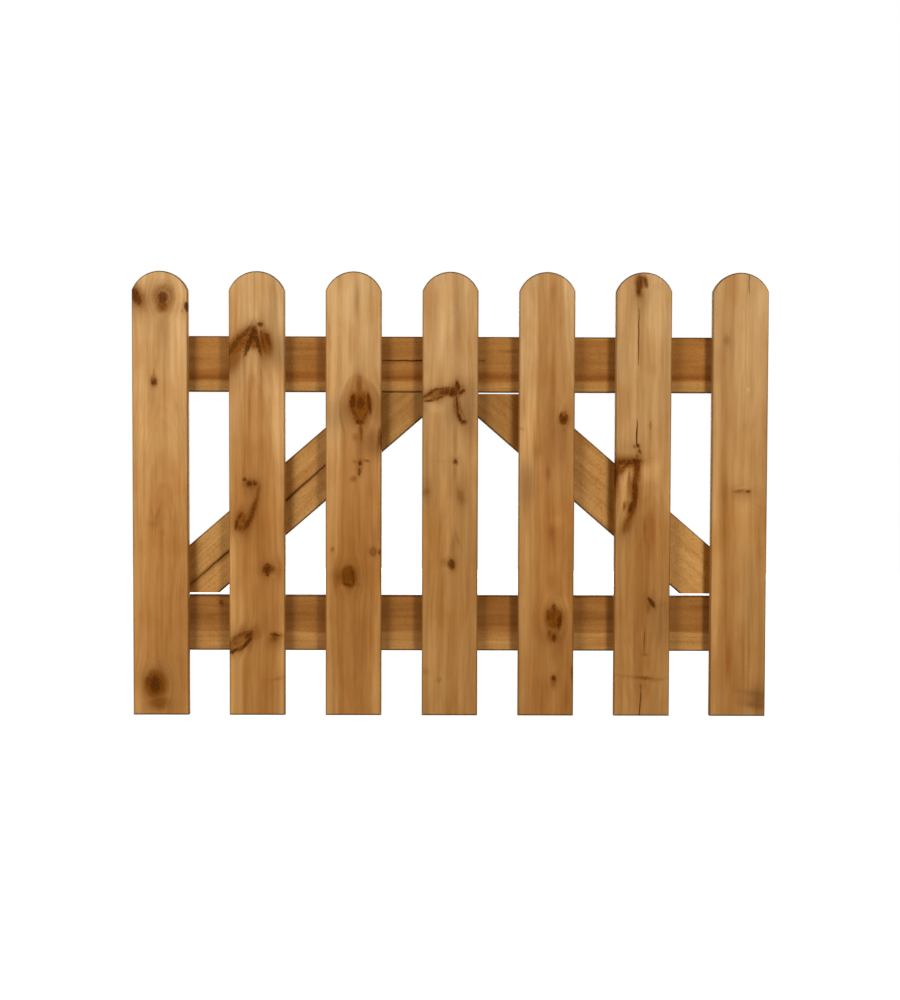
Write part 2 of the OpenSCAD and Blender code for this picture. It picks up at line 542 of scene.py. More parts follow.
# %% Pale 3
# The largest knot, with dark lobes round an amber middle, and a row of small marks under it.
pale_3 = Grain(
    [(0, 2, 27), (130, 4, 30), (220, 9, 34), (430, 13, 38), (480, 13, 20), (540, 10, -3),
     (620, 8, -1), (655, 6, 3), (690, 6, -2)],
    heart_edge=1.6, heart_depth=0.85, ring=3.8, lightness=1.04,
    marks=[
        ("stain", 5.7, 655, 7, 44, 0, 0.5),
        ("stain", 9, 650, 3, 70, 0, 0.3),
        ("stain", 10.5, 560, 4, 60, 0, 0.3),
        ("pale", -33, 520, 8, 130, 0, 0.7),
        ("warm", -40, 600, 8, 120, 0, 0.5),
        ("body", 11, 491, 34, 42, 0, 0.97),
        ("brush", 11, 475, 24, 26, 0, 0.9),
        ("knot", 11, 493, 15, 22, 0, 0.9),
        ("spike", -1.5, 496, 9, 24, 4, 1.0),
        ("spike", 1.5, 478, 6, 28, -30, 0.7),
        ("spike", 24.5, 494, 6, 32, -7, 0.95),
        ("spike", 19, 475, 5, 24, 28, 0.6),
        ("spike", 10, 464, 14, 8, 0, 0.95),
        ("spike", 3, 470, 7, 8, -30, 0.6),
        ("brush", 9, 517, 9, 36, 0, 0.8),
        ("stain", 10, 530, 16, 60, 0, 0.4),
        ("stain", 11, 486, 60, 70, 0, 0.4),
        ("brush", 11, 452, 6, 34, 0, 0.75),
        ("spike", 12, 448, 3, 26, 0, 0.5),
        ("stain", 11, 440, 14, 60, 0, 0.45),
        ("brush", 3, 440, 8, 12, 0, 0.5),
        ("pale", 30, 462, 12, 18, -30, 0.5),
        ("dull", -26, 478, 44, 46, 0, 0.8),
        ("dull", 38, 485, 14, 60, 0, 0.5),
        ("dull", 29, 432, 26, 38, 0, 1.0),
        ("spike", 42, 440, 8, 30, 0, 0.75),
        ("stain", 39, 425, 8, 26, 10, 0.5),
        ("knot", 10.5, 399, 6, 8, 0, 1.0),
        ("brush", 10.5, 397, 10, 16, 0, 0.5),
        ("spike", 9.4, 386, 4.5, 12, 6, 0.85),
        ("brush", 9.6, 388, 7, 18, 0, 0.5),
        ("spike", 21, 403, 9, 4, 14, 0.7),
        ("brush", 2.5, 402, 7, 5, 0, 0.5),
        ("brush", 0, 374, 9, 8, 20, 0.65),
        ("stain", 11, 420, 10, 44, 0, 0.45),
        ("body", -7, 220, 24, 34, 0, 1.0),
        ("knot", -7, 222, 15, 23, 0, 0.6),
        ("spike", -1, 221, 5, 28, -8, 0.85),
        ("spike", -15, 219, 4, 22, -10, 0.7),
        ("spike", -9, 207, 17, 4, 14, 0.9),
        ("spike", -9, 233, 14, 5, -20, 0.6),
        ("brush", -21, 221, 14, 13, 0, 0.35),
        ("stain", -22, 221, 28, 22, 0, 0.55),
        ("stain", -6, 219, 34, 44, 0, 0.4),
        ("brush", 5, 210, 14, 6, 40, 0.5),
        ("stain", -6, 198, 6, 12, 0, 0.4),
        ("pale", -17, 203, 13, 8, -30, 0.6),
        ("pale", -8, 240, 14, 6, 0, 0.5),
        ("warm", -28, 205, 12, 40, 20, 0.6),
        ("stain", 31.5, 260, 12, 14, 0, 0.6),
        ("eye", 31, 260, 9, 11, 0, 0.6),
        ("spike", 41, 259, 5, 9, 0, 0.75),
        ("dull", 34, 283, 8, 26, 0, 0.6),
        ("brush", -33, 263, 5, 7, 0, 0.6),
        ("stain", 8, 300, 4, 120, 0, 0.2),
        ("pale", 33, 90, 12, 110, 0, 0.4),
    ])
print("pale 3:", pale_3.told())

# %% Pale 4
# A resin band that runs in from the left edge with a leg that hangs from its end, and a knot
# in line with it further down.
pale_4 = Grain(
    [(0, 4, -3), (200, 4, -1), (330, 12, -6), (450, 0, -8), (700, -6, -20)],
    heart_edge=6.0, ring=4.2, lightness=0.94,
    marks=[
        ("pale", -5, 610, 18, 210, 0, 1.0),
        ("warm", -35, 640, 14, 110, 0, 0.8),
        ("stain", 9, 625, 9, 130, 0, 0.35),
        ("stain", 8.7, 612, 3, 26, 0, 0.35),
        ("brush", -17, 509.5, 15, 56, 76, 0.8),
        ("spike", -33, 508.5, 5, 22, 58, 0.9),
        ("spike", -15, 516.5, 4, 34, 82, 0.75),
        ("spike", -33, 497.5, 4, 18, 84, 0.9),
        ("spike", -18, 502.5, 4, 26, 72, 0.7),
        ("spike", -6, 511.5, 9, 22, 84, 0.9),
        ("pale", -34, 501.5, 4, 7, 70, 0.7),
        ("stain", -20, 508, 26, 70, 79, 0.4),
        ("knot", 4, 511, 15, 15, 0, 1.0),
        ("spike", 11.5, 521, 7, 18, -10, 1.0),
        ("spike", 18, 512, 6, 12, 62, 0.95),
        ("brush", 10, 514, 24, 22, 0, 0.85),
        ("stain", 12, 524, 20, 34, 0, 0.4),
        ("brush", 12, 487, 12, 42, -8, 0.75),
        ("spike", 11, 489, 4, 36, -5, 0.9),
        ("spike", 7, 490, 3, 14, -12, 0.4),
        ("spike", 15, 471, 6, 22, -26, 1.0),
        ("knot", 21, 464.5, 11, 7, 0, 1.0),
        ("spike", 19.5, 478, 2.5, 20, -20, 0.5),
        ("pale", 16.5, 482, 2.5, 22, -20, 0.8),
        ("stain", 15, 480, 24, 56, -14, 0.5),
        ("dull", -2, 478, 20, 44, 0, 0.6),
        ("dull", 31, 483, 24, 80, 0, 0.9),
        ("pale", -22, 487, 30, 16, 14, 0.7),
        ("stain", -42, 488, 12, 18, 0, 0.5),
        ("stain", 8, 440, 8, 44, 0, 0.35),
        ("knot", 8.5, 402, 6, 8, -20, 1.0),
        ("stain", 8.5, 402, 12, 14, 0, 0.35),
        ("stain", 8, 384, 6, 40, 0, 0.35),
        ("stain", -10, 402, 40, 4, 0, 0.15),
        ("dull", -36, 357, 18, 40, 0, 0.8),
        ("brush", -38, 354, 9, 12, 30, 0.5),
        ("brush", 17, 347, 10, 22, -18, 0.5),
        ("stain", 16, 352, 20, 44, -14, 0.4),
        ("pale", -8, 345, 14, 60, 0, 0.6),
        ("dull", 26, 345, 24, 60, 0, 0.4),
        ("pale", -7, 295, 12, 90, 0, 0.5),
        ("knot", 3, 240, 11, 17, -8, 1.0),
        ("brush", -8, 243, 12, 12, 0, 0.35),
        ("pale", -3, 232, 8, 5, 20, 0.5),
        ("stain", 4, 270, 6, 34, 0, 0.4),
        ("stain", 13, 278, 5, 24, -20, 0.3),
        ("dull", 26, 290, 30, 150, 0, 0.5),
        ("warm", -30, 260, 20, 140, 0, 0.5),
        ("brush", -16.5, 57, 8, 6, -30, 0.35),
        ("stain", -38, 70, 10, 8, 0, 0.35),
        ("warm", 8, 30, 9, 80, 0, 0.7),
        ("pale", -28, 120, 20, 100, 0, 0.3),
    ])
print("pale 4:", pale_4.told())

# %% Pale 5
# A ragged knot beside the middle, a wider one low down, and a warm heart between them.
pale_5 = Grain(
    [(0, 12, 33), (340, 12, 33), (395, 14, 32), (430, 18, 39), (480, 16, 31), (560, 9, 20),
     (700, 7, 16)],
    heart_edge=1.8, heart_depth=0.85, ring=3.6, lightness=1.0,
    marks=[
        ("warm", 9, 668, 8, 50, 0, 0.6),
        ("stain", 10, 672, 8, 16, 0, 0.15),
        ("warm", 10, 545, 9, 60, 0, 0.7),
        ("body", 26.5, 470, 14, 17, 0, 0.85),
        ("spike", 26, 468, 12, 14, 0, 0.9),
        ("spike", 21.5, 475, 4, 10, 10, 0.9),
        ("spike", 31, 473, 4, 12, -10, 0.8),
        ("spike", 27, 480, 9, 3, 0, 0.5),
        ("pale", 26, 474, 5, 5, 0, 0.8),
        ("stain", 27, 455, 9, 20, 0, 0.5),
        ("stain", 27, 471, 26, 34, 0, 0.4),
        ("stain", -40, 454, 7, 4, 0, 0.5),
        ("pale", -29, 445, 24, 110, 6, 1.0),
        ("pale", 24, 492, 6, 24, 20, 0.5),
        ("warm", 6, 470, 12, 60, 0, 0.5),
        ("dull", 24, 430, 26, 60, 0, 0.6),
        ("dull", -33, 366, 22, 70, 0, 0.9),
        ("stain", 2.6, 385, 6, 18, 0, 0.5),
        ("stain", -13, 420, 16, 20, 0, 0.25),
        ("pale", 14, 308, 20, 18, 0, 0.6),
        ("pale", 26, 178, 20, 22, 0, 0.7),
        ("pale", 4, 186, 12, 20, 30, 0.4),
        ("warm", 8, 280, 14, 50, 0, 0.7),
        ("stain", 8, 290, 5, 16, 0, 0.35),
        ("warm", 8, 214, 12, 22, 0, 0.7),
        ("dull", -40, 150, 8, 400, 0, 0.3),
        ("body", 13.5, 155, 27, 33, 0, 1.0),
        ("brush", 13.5, 163, 26, 14, 0, 0.9),
        ("knot", 10, 160, 12, 15, 0, 0.6),
        ("spike", 21.5, 150, 7, 28, 5, 0.9),
        ("spike", 4, 160, 6, 18, -5, 0.7),
        ("spike", 12, 144, 12, 8, 0, 0.5),
        ("spike", 12.5, 172, 7, 12, 0, 0.85),
        ("brush", 11, 128, 17, 20, 0, 0.7),
        ("spike", 13, 124, 7, 13, 0, 0.85),
        ("spike", 6, 132, 5, 9, 0, 0.6),
        ("pale", 11, 133, 6, 5, 0, 0.6),
        ("stain", 12, 130, 30, 40, 0, 0.5),
        ("stain", 13, 104, 8, 44, 0, 0.45),
        ("knot", 12.8, 60, 7, 9, 0, 1.0),
        ("brush", 12.5, 54, 8, 16, 0, 0.6),
        ("stain", 12.5, 56, 14, 30, 0, 0.35),
        ("spike", 42, 68, 5, 26, 0, 0.6),
        ("warm", 33, 30, 9, 40, 0, 0.9),
    ])
print("pale 5:", pale_5.told())

# %% Pale 6
# A long loop of resin where a branch was cut along its whole length, and drying cracks above
# it and at the foot.
pale_6 = Grain(
    [(0, 0, -5), (60, 0, 6), (150, -8, 24), (260, 0, 24), (330, 8, 12), (370, 8, -4),
     (700, 0, -14)],
    heart_edge=9.0, ring=4.0, lightness=0.94,
    marks=[
        ("body", -5, 685, 18, 20, 0, 0.75),
        ("spike", -8.5, 679, 9, 30, 4, 0.9),
        ("spike", 2, 683, 6, 18, -12, 0.75),
        ("spike", -7, 691, 12, 6, 0, 0.8),
        ("brush", -8, 668, 10, 14, 0, 0.7),
        ("stain", -5, 664, 24, 44, 0, 0.5),
        ("pale", 1, 675, 12, 6, 0, 0.8),
        ("stain", 21, 680, 24, 12, -30, 0.2),
        ("pale", -32, 650, 20, 70, 0, 0.6),
        ("pale", 18, 640, 24, 100, 0, 0.5),
        ("pale", -12.5, 560, 5, 180, 0, 0.5),
        ("stain", -9, 640, 5, 30, 0, 0.3),
        ("pale", -4, 525, 4, 60, 0, 0.4),
        ("stain", 36, 560, 6, 160, 0, 0.3),
        ("spike", -14, 427, 5, 6, 20, 0.6),
        ("spike", -8, 428, 5, 9, -20, 0.85),
        ("spike", -5.5, 419, 5, 7, -20, 0.85),
        ("spike", -9.5, 412, 5, 6, 0, 0.7),
        ("brush", -8, 416, 9, 22, -10, 0.45),
        ("brush", -26, 401, 17, 48, 88, 0.95),
        ("spike", -26, 402, 8, 44, 86, 0.9),
        ("spike", -12, 404, 7, 18, 90, 0.95),
        ("spike", -9.5, 397, 10, 22, 0, 0.9),
        ("stain", -22, 409, 16, 52, 90, 0.5),
        ("brush", -36, 391, 15, 36, 40, 0.95),
        ("spike", -31, 393, 5, 28, 44, 0.6),
        ("spike", -43, 385, 9, 44, 6, 0.85),
        ("brush", -42, 367, 9, 50, 6, 0.7),
        ("brush", -10.5, 385, 12, 46, 0, 0.95),
        ("spike", -10, 387, 6, 40, 2, 0.75),
        ("brush", -13.5, 357, 15, 44, 0, 1.0),
        ("spike", -14.5, 363, 4, 34, 2, 0.9),
        ("spike", -12, 351, 7, 44, 3, 0.9),
        ("brush", -17.5, 329, 13, 34, 13, 1.0),
        ("spike", -18.5, 332, 7, 20, 20, 1.0),
        ("spike", -16.5, 327, 5, 36, 13, 0.7),
        ("spike", -21, 315, 5, 28, 22, 0.7),
        ("brush", -24.5, 306, 14, 34, 22, 0.65),
        ("spike", -28, 302, 5, 18, 8, 0.55),
        ("spike", -23, 300, 3, 14, 0, 0.5),
        ("stain", -25, 300, 24, 52, 22, 0.5),
        ("spike", -29.5, 333, 4, 14, 0, 0.6),
        ("brush", -25, 334, 10, 18, 30, 0.6),
        ("spike", -22.5, 375, 2.5, 24, 8, 0.5),
        ("stain", -23, 364, 5, 44, 4, 0.5),
        ("stain", -38, 340, 4, 60, 5, 0.4),
        ("pale", -31, 354, 14, 56, 6, 1.0),
        ("pale", -17, 386, 4, 20, 26, 1.0),
        ("pale", -20, 345, 3, 34, 4, 0.7),
        ("pale", 10, 392, 30, 40, -10, 0.75),
        ("spike", 11, 460, 4, 12, 0, 0.5),
        ("stain", 12, 448, 5, 30, 0, 0.3),
        ("stain", -22, 425, 30, 24, 0, 0.3),
        ("warm", 3, 297, 5, 30, 0, 1.0),
        ("stain", 3, 296, 4, 22, 0, 0.35),
        ("warm", 13, 295, 10, 70, 0, 0.9),
        ("spike", 14.5, 181, 7, 18, -36, 1.0),
        ("spike", 18, 175, 5, 8, 0, 0.7),
        ("spike", 12.5, 178, 5, 5, 0, 0.5),
        ("brush", 10, 171, 6, 14, 0, 0.5),
        ("stain", 14, 178, 18, 26, 0, 0.35),
        ("dull", 28, 150, 34, 80, 0, 0.85),
        ("stain", 26, 176, 24, 3, -16, 0.3),
        ("pale", 0.5, 122, 4, 40, 0, 0.5),
        ("pale", 9.5, 122, 3, 40, 0, 0.5),
        ("brush", 5, 98, 8, 4, 0, 0.5),
        ("brush", 6, 60.5, 28, 5, 4, 0.6),
        ("spike", 5, 60, 10, 5, 0, 0.5),
        ("stain", -20, 63, 44, 4, 6, 0.3),
        ("stain", 28, 58, 26, 4, -12, 0.35),
        ("stain", 5, 52, 4, 14, 0, 0.4),
        ("spike", -1.4, 47, 3.5, 8, 0, 0.6),
    ],
    cracks=[
        (-8.2, 646, -9, 552, 1.6, 2.0),
        (-10.2, 470, -10.6, 424, 2.6, 2.2),
        (4.2, 138, 3.6, 98, 1.0, 0.6),
        (-1, 44, -4, -12, 1.6, 2.5),
    ])
print("pale 6:", pale_6.told())

# %% Pale 7
# The cleanest board: one thin dash across it, a fine crack in the crown, and a grey patch at the
# foot.
pale_7 = Grain(
    [(0, -8, 19), (150, -12, 15), (300, -16, 10), (450, -20, 7), (600, -20, 6), (700, -20, 5)],
    heart_edge=3.0, heart_depth=0.85, ring=4.0, lightness=0.93,
    marks=[
        ("brush", -22.5, 594, 9, 14, 0, 0.4),
        ("stain", -22, 590, 16, 30, 0, 0.25),
        ("pale", 12.5, 517, 5, 8, 0, 0.9),
        ("pale", 10, 600, 26, 140, 0, 0.4),
        ("brush", -1, 357, 13, 4, -8, 0.8),
        ("brush", 13.5, 356.5, 9, 4, -16, 0.9),
        ("spike", 14, 356.5, 6, 3, -16, 0.7),
        ("stain", 6, 354, 40, 16, 0, 0.4),
        ("stain", 22, 340, 30, 3, 40, 0.2),
        ("pale", 6, 362, 16, 4, 0, 0.8),
        ("pale", 4, 348, 8, 8, 0, 0.5),
        ("stain", -22, 355, 10, 40, 0, 0.3),
        ("pale", -37, 230, 14, 260, 0, 0.8),
        ("pale", 5, 310, 30, 70, 0, 0.4),
        ("dull", 20, 210, 24, 120, 0, 0.4),
        ("stain", 9, 105, 4, 90, 0, 0.35),
        ("stain", 17, 100, 3, 70, 0, 0.3),
        ("warm", -15, 88, 6, 60, 0, 1.0),
        ("dull", 30, 26, 40, 38, 20, 1.0),
        ("stain", 30, 36, 34, 8, 8, 0.45),
        ("stain", 28, 18, 34, 9, 8, 0.5),
        ("stain", 22, 38, 40, 4, 8, 0.35),
        ("stain", 34, 27, 16, 26, 0, 0.35),
    ],
    cracks=[
        (11.6, 712, 12.6, 664, 1.0, 0.7),
    ])
print("pale 7:", pale_7.told())

pale_grains = [pale_1, pale_2, pale_3, pale_4, pale_5, pale_6, pale_7]
print("marks on all pales:", sum(len(grain.marks) for grain in pale_grains))

# %% [markdown]
# ## The grain of the rails and braces
# Most of a rail or a brace is hidden behind the pales, so it needs few marks. What shows in the gaps
# are long bands: the dark heart, and strips that are warmer, duller or bleached. Noise would give
# each gap a look of its own, but a band that carries on behind the pales tells that the pieces in
# the gaps are one board, so each band is one long mark. Rails count from their left end and
# braces from their heel, with across counted to the right-hand side of a walker who follows the
# grain.

# %% Rails
rail_grains = [
    Grain(
        [(0, -20, 34), (1000, -20, 34)],
        heart_radius=46, heart_edge=1.6, ring=3.4, lightness=1.38, heart_depth=1.0,
        marks=[
            ("dull", -18, 500, 62, 5000, 0, 0.75),
            ("knot", -32, 137, 7, 9, 70, 0.8),
            ("stain", -32, 137, 12, 30, 80, 0.3),
        ]),
    Grain(
        [(0, -8, 35), (1000, -8, 34)],
        heart_radius=46, heart_edge=1.6, ring=3.2, lightness=1.18, heart_depth=0.9,
        marks=[
            ("warm", 18, 500, 14, 5000, 0, 1.0),
            ("stain", 20, 500, 7, 3000, 0, 0.25),
            ("stain", -21, 596, 4, 24, 0, 0.5),
        ],
        cracks=[
            (-6, 372, -7, 562, 2.2, 1.6),
        ]),
]
for rail, grain in zip(rails, rail_grains):
    print(rail.node + ":", grain.told())

# %% Braces
brace_grains = [
    Grain(
        [(0, 8, -8), (700, 10, -4)],
        heart_radius=46, heart_edge=3.0, ring=3.4, lightness=1.18,
        marks=[
            ("pale", 0, 150, 240, 400, 0, 0.6),
            ("pale", 26, 110, 30, 240, 0, 1.0),
            ("stain", 5, 120, 8, 240, 1, 0.5),
            ("stain", 2, 330, 8, 260, 1, 0.35),
            ("stain", 25, 545, 110, 120, 0, 0.45),
        ],
        cracks=[
            (6, 34, 0, 420, 3.2, 1.2),
        ]),
    Grain(
        [(0, -20, -4), (700, -24, -8)],
        heart_radius=46, heart_edge=3.0, ring=3.2, lightness=1.27,
        marks=[
            ("stain", -20, 525, 170, 150, 0, 0.5),
            ("pale", 0, 90, 240, 200, 0, 0.7),
        ]),
]
for brace, grain in zip(braces, brace_grains):
    print(brace.node + ":", grain.told())

# %% [markdown]
# ## The wood finish
# The finish is built up in layers. The tree gave the pale sapwood, the darker heart, the rings and the
# fibres. Over that the pales carry painted light and shade: lighter at the crown, and darker towards the
# foot. Stain soaked in deepest where the saw crossed the grain and along the arrises of the rails and
# braces. The side edges of the pales and the cracks carry painted shade, and the rails and braces carry
# painted shadow beside each pale. The marks of the knots come before the edges, because they run through the
# wood. Everything is worked out in the board's own sawn frame and through its whole thickness, so a knot
# shows on the front and on the back. One material for each board costs more nodes than one for all, but only
# so can each have its own knots.

# %% [markdown]
# ## Bends in the grain
# Nothing in wood is dead straight. The pattern could be made wavy by noise on its colour, but that
# smears it. It is better to bend the place that every pattern is read at: the lines stay thin and
# sharp and only their course changes.

# %% Bends in the grain
# Each bend has its noise, as turns to a millimetre, step of the seed, detail and roughness, and how
# far it reaches in millimetres across, through and along.
HALF = (0.5, 0.5, 0.5)
WANDER_NOISE, WANDER = ((0.02, 0.02, 0.006), 0, 2, 0.5), (10, 10, 0)
TREMBLE_NOISE, TREMBLE = ((0.3, 0.1, 0.2), 5, 3, 0.65), (4, 0, 5)
FRAY_NOISE, FRAY = ((0.8, 0.1, 0.03), 7, 2, 0.6), (0, 0, 5.5)


def own_noise(finish, place, seed, recipe, out=0):
    """The noise of a recipe, as this board has it."""
    stretch, offset, detail, roughness = recipe
    return finish.noise(place, stretch, seed + offset, detail, roughness, out)


def bent_places(finish, place, seed):
    """The place bent in two ways: by a slow wander for the grain, and by a tremble and a fraying
    along the grain for the outlines of the marks."""
    wander = own_noise(finish, place, seed, WANDER_NOISE, out=1)
    tremble = own_noise(finish, place, seed, TREMBLE_NOISE, out=1)
    fray = own_noise(finish, place, seed, FRAY_NOISE) - 0.5
    wander = finish.vector("SUBTRACT", wander, HALF)
    tremble = finish.vector("SUBTRACT", tremble, HALF)
    lengthways = finish.node("ShaderNodeCombineXYZ", {}, {2: fray})
    wandering = finish.vector("MULTIPLY_ADD", wander, WANDER, place)
    trembling = finish.vector("MULTIPLY_ADD", tremble, TREMBLE, place)
    return wandering, finish.vector("MULTIPLY_ADD", lengthways, FRAY, trembling)


print("the grain wanders by up to", max(WANDER) / 2, "mm")
print("the outline of a knot trembles by up to", max(TREMBLE) / 2, "mm")

# %% [markdown]
# ## Marks and rings as fields
# The marks of a board are gathered layer by layer, and the knots among them say how far the rings
# lift and the fibres step aside. Only then are the rings drawn, since they flow round the knots. The
# heart's path goes into a colour ramp, red for its way across and green for its depth: a ramp with
# soft steps is the simplest node that turns a height into a smooth curve along a few points.

# %% Marks on a board
def mark_fields(finish, board, grain, place):
    """How strong each layer of marks is, how far the rings lift, and how far fibres step aside."""
    layers = dict.fromkeys(MARK_LAYERS, 0.0)
    swell, push = 0.0, 0.0
    for kind, across, up, wide, tall, tilt, strength in grain.marks:
        layer, moves_grain, _ = MARKS[kind]
        mark = finish.node("ShaderNodeGroup", {"node_tree": recipes[kind]}, {
            "Place": place, "Middle": across, "Height": up - board.length / MM / 2,
            "Cosine": cos(radians(tilt)), "Sine": sin(radians(tilt)),
            "Half width": wide / 2 / OVAL_EDGE, "Half height": tall / 2 / OVAL_EDGE,
            "Strength": strength, "Layer": layers[layer], "Swell": swell, "Push": push})
        if moves_grain:
            layers[layer], swell, push = finish.outputs(mark)
        else:
            layers[layer] = mark
    return layers, swell, push


print("layers of marks:", ", ".join(MARK_LAYERS))

# %% Rings
# The ramp holds shares from 0 to 1, so the heart's path is scaled to a span in millimetres. A year
# runs from 0 to 1: latewood darkens slowly as it goes on, and stops short at its end.
HEART_SPAN = 200
UNEVEN_TURNS, UNEVEN_SEED, UNEVEN_YEARS = 0.31, 3.1, 2.4
LATE_BEGINS, LATE_FULL, LATE_ENDS, YEAR_ENDS = 0.15, 0.85, 0.88, 1.0


def ring_fields(finish, board, grain, place, swell, push, seed):
    """How far a point is from the heart, and how near it is to a dark latewood line."""
    across, through, along = finish.parts(place)
    length, radius = board.length / MM, grain.heart_radius
    path = []
    for up, middle, reach in grain.heart:
        depth = (radius * radius - reach * reach) ** 0.5 if reach > 0 else radius - reach
        path.append((up / length, (0.5 + middle / HEART_SPAN, depth / HEART_SPAN, 0, 1)))
    share = along / length + 0.5
    pith = finish.parts(finish.node("ShaderNodeValToRGB", {"stops": path}, {"Fac": share}))
    beside = across - push - (pith[0] * HEART_SPAN - HEART_SPAN / 2)
    behind = through - board.front / MM - pith[1] * HEART_SPAN
    outward = finish.math("SQRT", beside * beside + behind * behind) - swell
    age = outward / grain.ring
    uneven = finish.node("ShaderNodeTexNoise", {"noise_dimensions": "1D"},
                         {"W": age * UNEVEN_TURNS + seed * UNEVEN_SEED, "Scale": 1.0, "Detail": 1.0})
    year = finish.math("FRACT", age + uneven * UNEVEN_YEARS)
    late = finish.step(year, LATE_BEGINS, LATE_FULL) * finish.step(year, LATE_ENDS, YEAR_ENDS, 1.0, 0.0)
    return outward, late


print("rings in a pale's width:", round(STOCK_WIDTH / MM / pale_1.ring))

# %% [markdown]
# ## Colours
# The wood itself and the resin of its knots are paints, given as they are read off a colour chart.
# Everything that soaked in is a coat of stain, and so is every painted shade and shadow, all given as the
# share of red, green and blue that they let through. Every colour could be a paint of its own, but then a
# darker foot or a darker edge would need its own shade of each. Coats lie over whatever is below, and so
# they can be few.

# %% Colours
def srgb(red, green, blue):
    """A paint colour as it is read off a colour chart, 0 to 255, as the shader wants it."""
    def linear(level):
        level /= 255
        return level / 12.92 if level <= 0.04045 else ((level + 0.055) / 1.055) ** 2.4
    return (linear(red), linear(green), linear(blue), 1)


SAPWOOD = srgb(215, 173, 119)
LATEWOOD = srgb(178, 128, 74)
KNOT_AMBER = srgb(120, 64, 4)
KNOT_EDGE, KNOT_HEART = srgb(116, 60, 3), srgb(84, 39, 0)

HEARTWOOD = (0.80, 0.68, 0.54, 1)
# Painted light and shade: the pales darken towards the foot and are left lighter at the crown.
FOOT_SHADE = (0.85, 0.705, 0.50, 1)
RAIL_STAIN = (0.63, 0.52, 0.345, 1)
WARM_WOOD = (0.86, 0.72, 0.56, 1)
DULL_BAND = (0.86, 0.82, 0.76, 1)
DARK_FIBRE = (0.78, 0.72, 0.62, 1)
PALE_FIBRE = (1.26, 1.32, 1.42, 1)
END_GRAIN = (0.34, 0.31, 0.25, 1)
# Painted shade on the side edges of the pales.
EDGE_SHADE = (0.70, 0.66, 0.58, 1)
DARK_ARRIS = (0.45, 0.42, 0.36, 1)
# Painted shadow: the shadow that a pale casts on the rails and braces.
PALE_SHADOW_TINT = (0.62, 0.42, 0.12, 1)
# Painted shade inside the cracks.
CRACK_SHADE = (0.52, 0.35, 0.17, 1)
LAYER_TINTS = {"pale": PALE_FIBRE, "warm": WARM_WOOD, "dull": (0.70, 0.68, 0.68, 1),
               "stain": (0.42, 0.34, 0.20, 1)}
print("sapwood, as the shader reads it:", [round(level, 2) for level in SAPWOOD[:3]])

# %% [markdown]
# ## The tree's own colour
# Under the stain there is the tree: sapwood, with a heart that is darker and redder, and faint dark
# lines of latewood. Fibres are streaks of noise, drawn out along the grain, from broad patches down
# to hairs. A picture of a plank would bring all this at once, but the same plank on every board.
# Here each streak is its own field, so the light and dark of a board can be set like a mixing desk.

# %% The tree's own colour
# Fields of streaks, each with its noise in the same form as the bends. Flecks don't follow the grain.
FIBRES = {
    "patch": ((0.03, 0.03, 0.014), 17, 3, 0.55),
    "band": ((0.05, 0.05, 0.004), 21, 2, 0.5),
    "fibre": ((0.13, 0.13, 0.005), 9, 3, 0.55),
    "hair": ((1.6, 1.6, 0.03), 12, 2, 0.6),
}
FLECK = ((0.4, 0.4, 0.22), 3, 3, 0.65)

# What a field lays on the wood: where it starts and is full, how strong it gets, and its coat. The
# rails and braces are rougher sawn, so their flecks show as well.
PLANED_COATS = (("patch", 0.40, 0.68, 0.5, WARM_WOOD), ("band", 0.38, 0.62, 0.8, DULL_BAND),
                ("fibre", 0.36, 0.70, 0.7, DARK_FIBRE), ("hair", 0.50, 0.80, 0.2, DARK_FIBRE))
SAWN_COATS = (("fleck", 0.50, 0.68, 0.8, DARK_FIBRE), ("fleck", 0.44, 0.30, 0.5, PALE_FIBRE))
LATEWOOD_SHOWS = 0.12
# Painted shade on the pales is full this many millimetres above the foot, and starts this many under the
# crown.
FOOT_SHADE_FULL, CROWN_LIT = 300, 10


def timber_colour(finish, board, grain, place, outward, late, fields):
    """Sapwood, heart, rings and fibres, under stain on rails and braces, and under painted shade to the foot
    on pales.
    """
    light = tuple(level * grain.lightness for level in SAPWOOD[:3]) + (1,)
    deep = tuple(level * grain.lightness for level in LATEWOOD[:3]) + (1,)
    colour = finish.mix(late * LATEWOOD_SHOWS, light, deep)
    inner, outer = grain.heart_radius - grain.heart_edge, grain.heart_radius + grain.heart_edge
    colour = finish.tint(colour, finish.step(outward, inner, outer, grain.heart_depth, 0.0), HEARTWOOD)
    # Painted light and shade: a pale is lighter at its crown and darker towards its foot.
    if board.slot == "pales":
        half = board.length / MM / 2
        foot_shade = finish.node("ShaderNodeMapRange", {}, {
            "Value": finish.parts(place)[2], "From Min": half - CROWN_LIT,
            "From Max": FOOT_SHADE_FULL - half})
        colour = finish.tint(colour, foot_shade, FOOT_SHADE)
    else:
        colour = finish.tint(colour, 1.0, RAIL_STAIN)
    coats = PLANED_COATS if board.slot == "pales" else PLANED_COATS + SAWN_COATS
    for field, start, full, strength, coat in coats:
        colour = finish.tint(colour, finish.step(fields[field], start, full, 0.0, strength), coat)
    return colour


print("coats on a pale and on a rail:", len(PLANED_COATS), len(PLANED_COATS + SAWN_COATS))

# %% [markdown]
# ## Marks over the timber
# The soft marks are coats like the stain. Resin is different: it fills the wood and hides it, so the
# knots are laid on as a paint. A knot in one flat brown looks like a hole, so the resin is broken up
# by flecks, and where it is thickest it goes from brown to nearly black.

# %% Marks over the timber
LEAST_RESIN = 0.4
AMBER_FLECKS, DARK_FLECKS = 1.1, 1.15
RESIN_THIN, RESIN_THICK = 0.3, 0.95


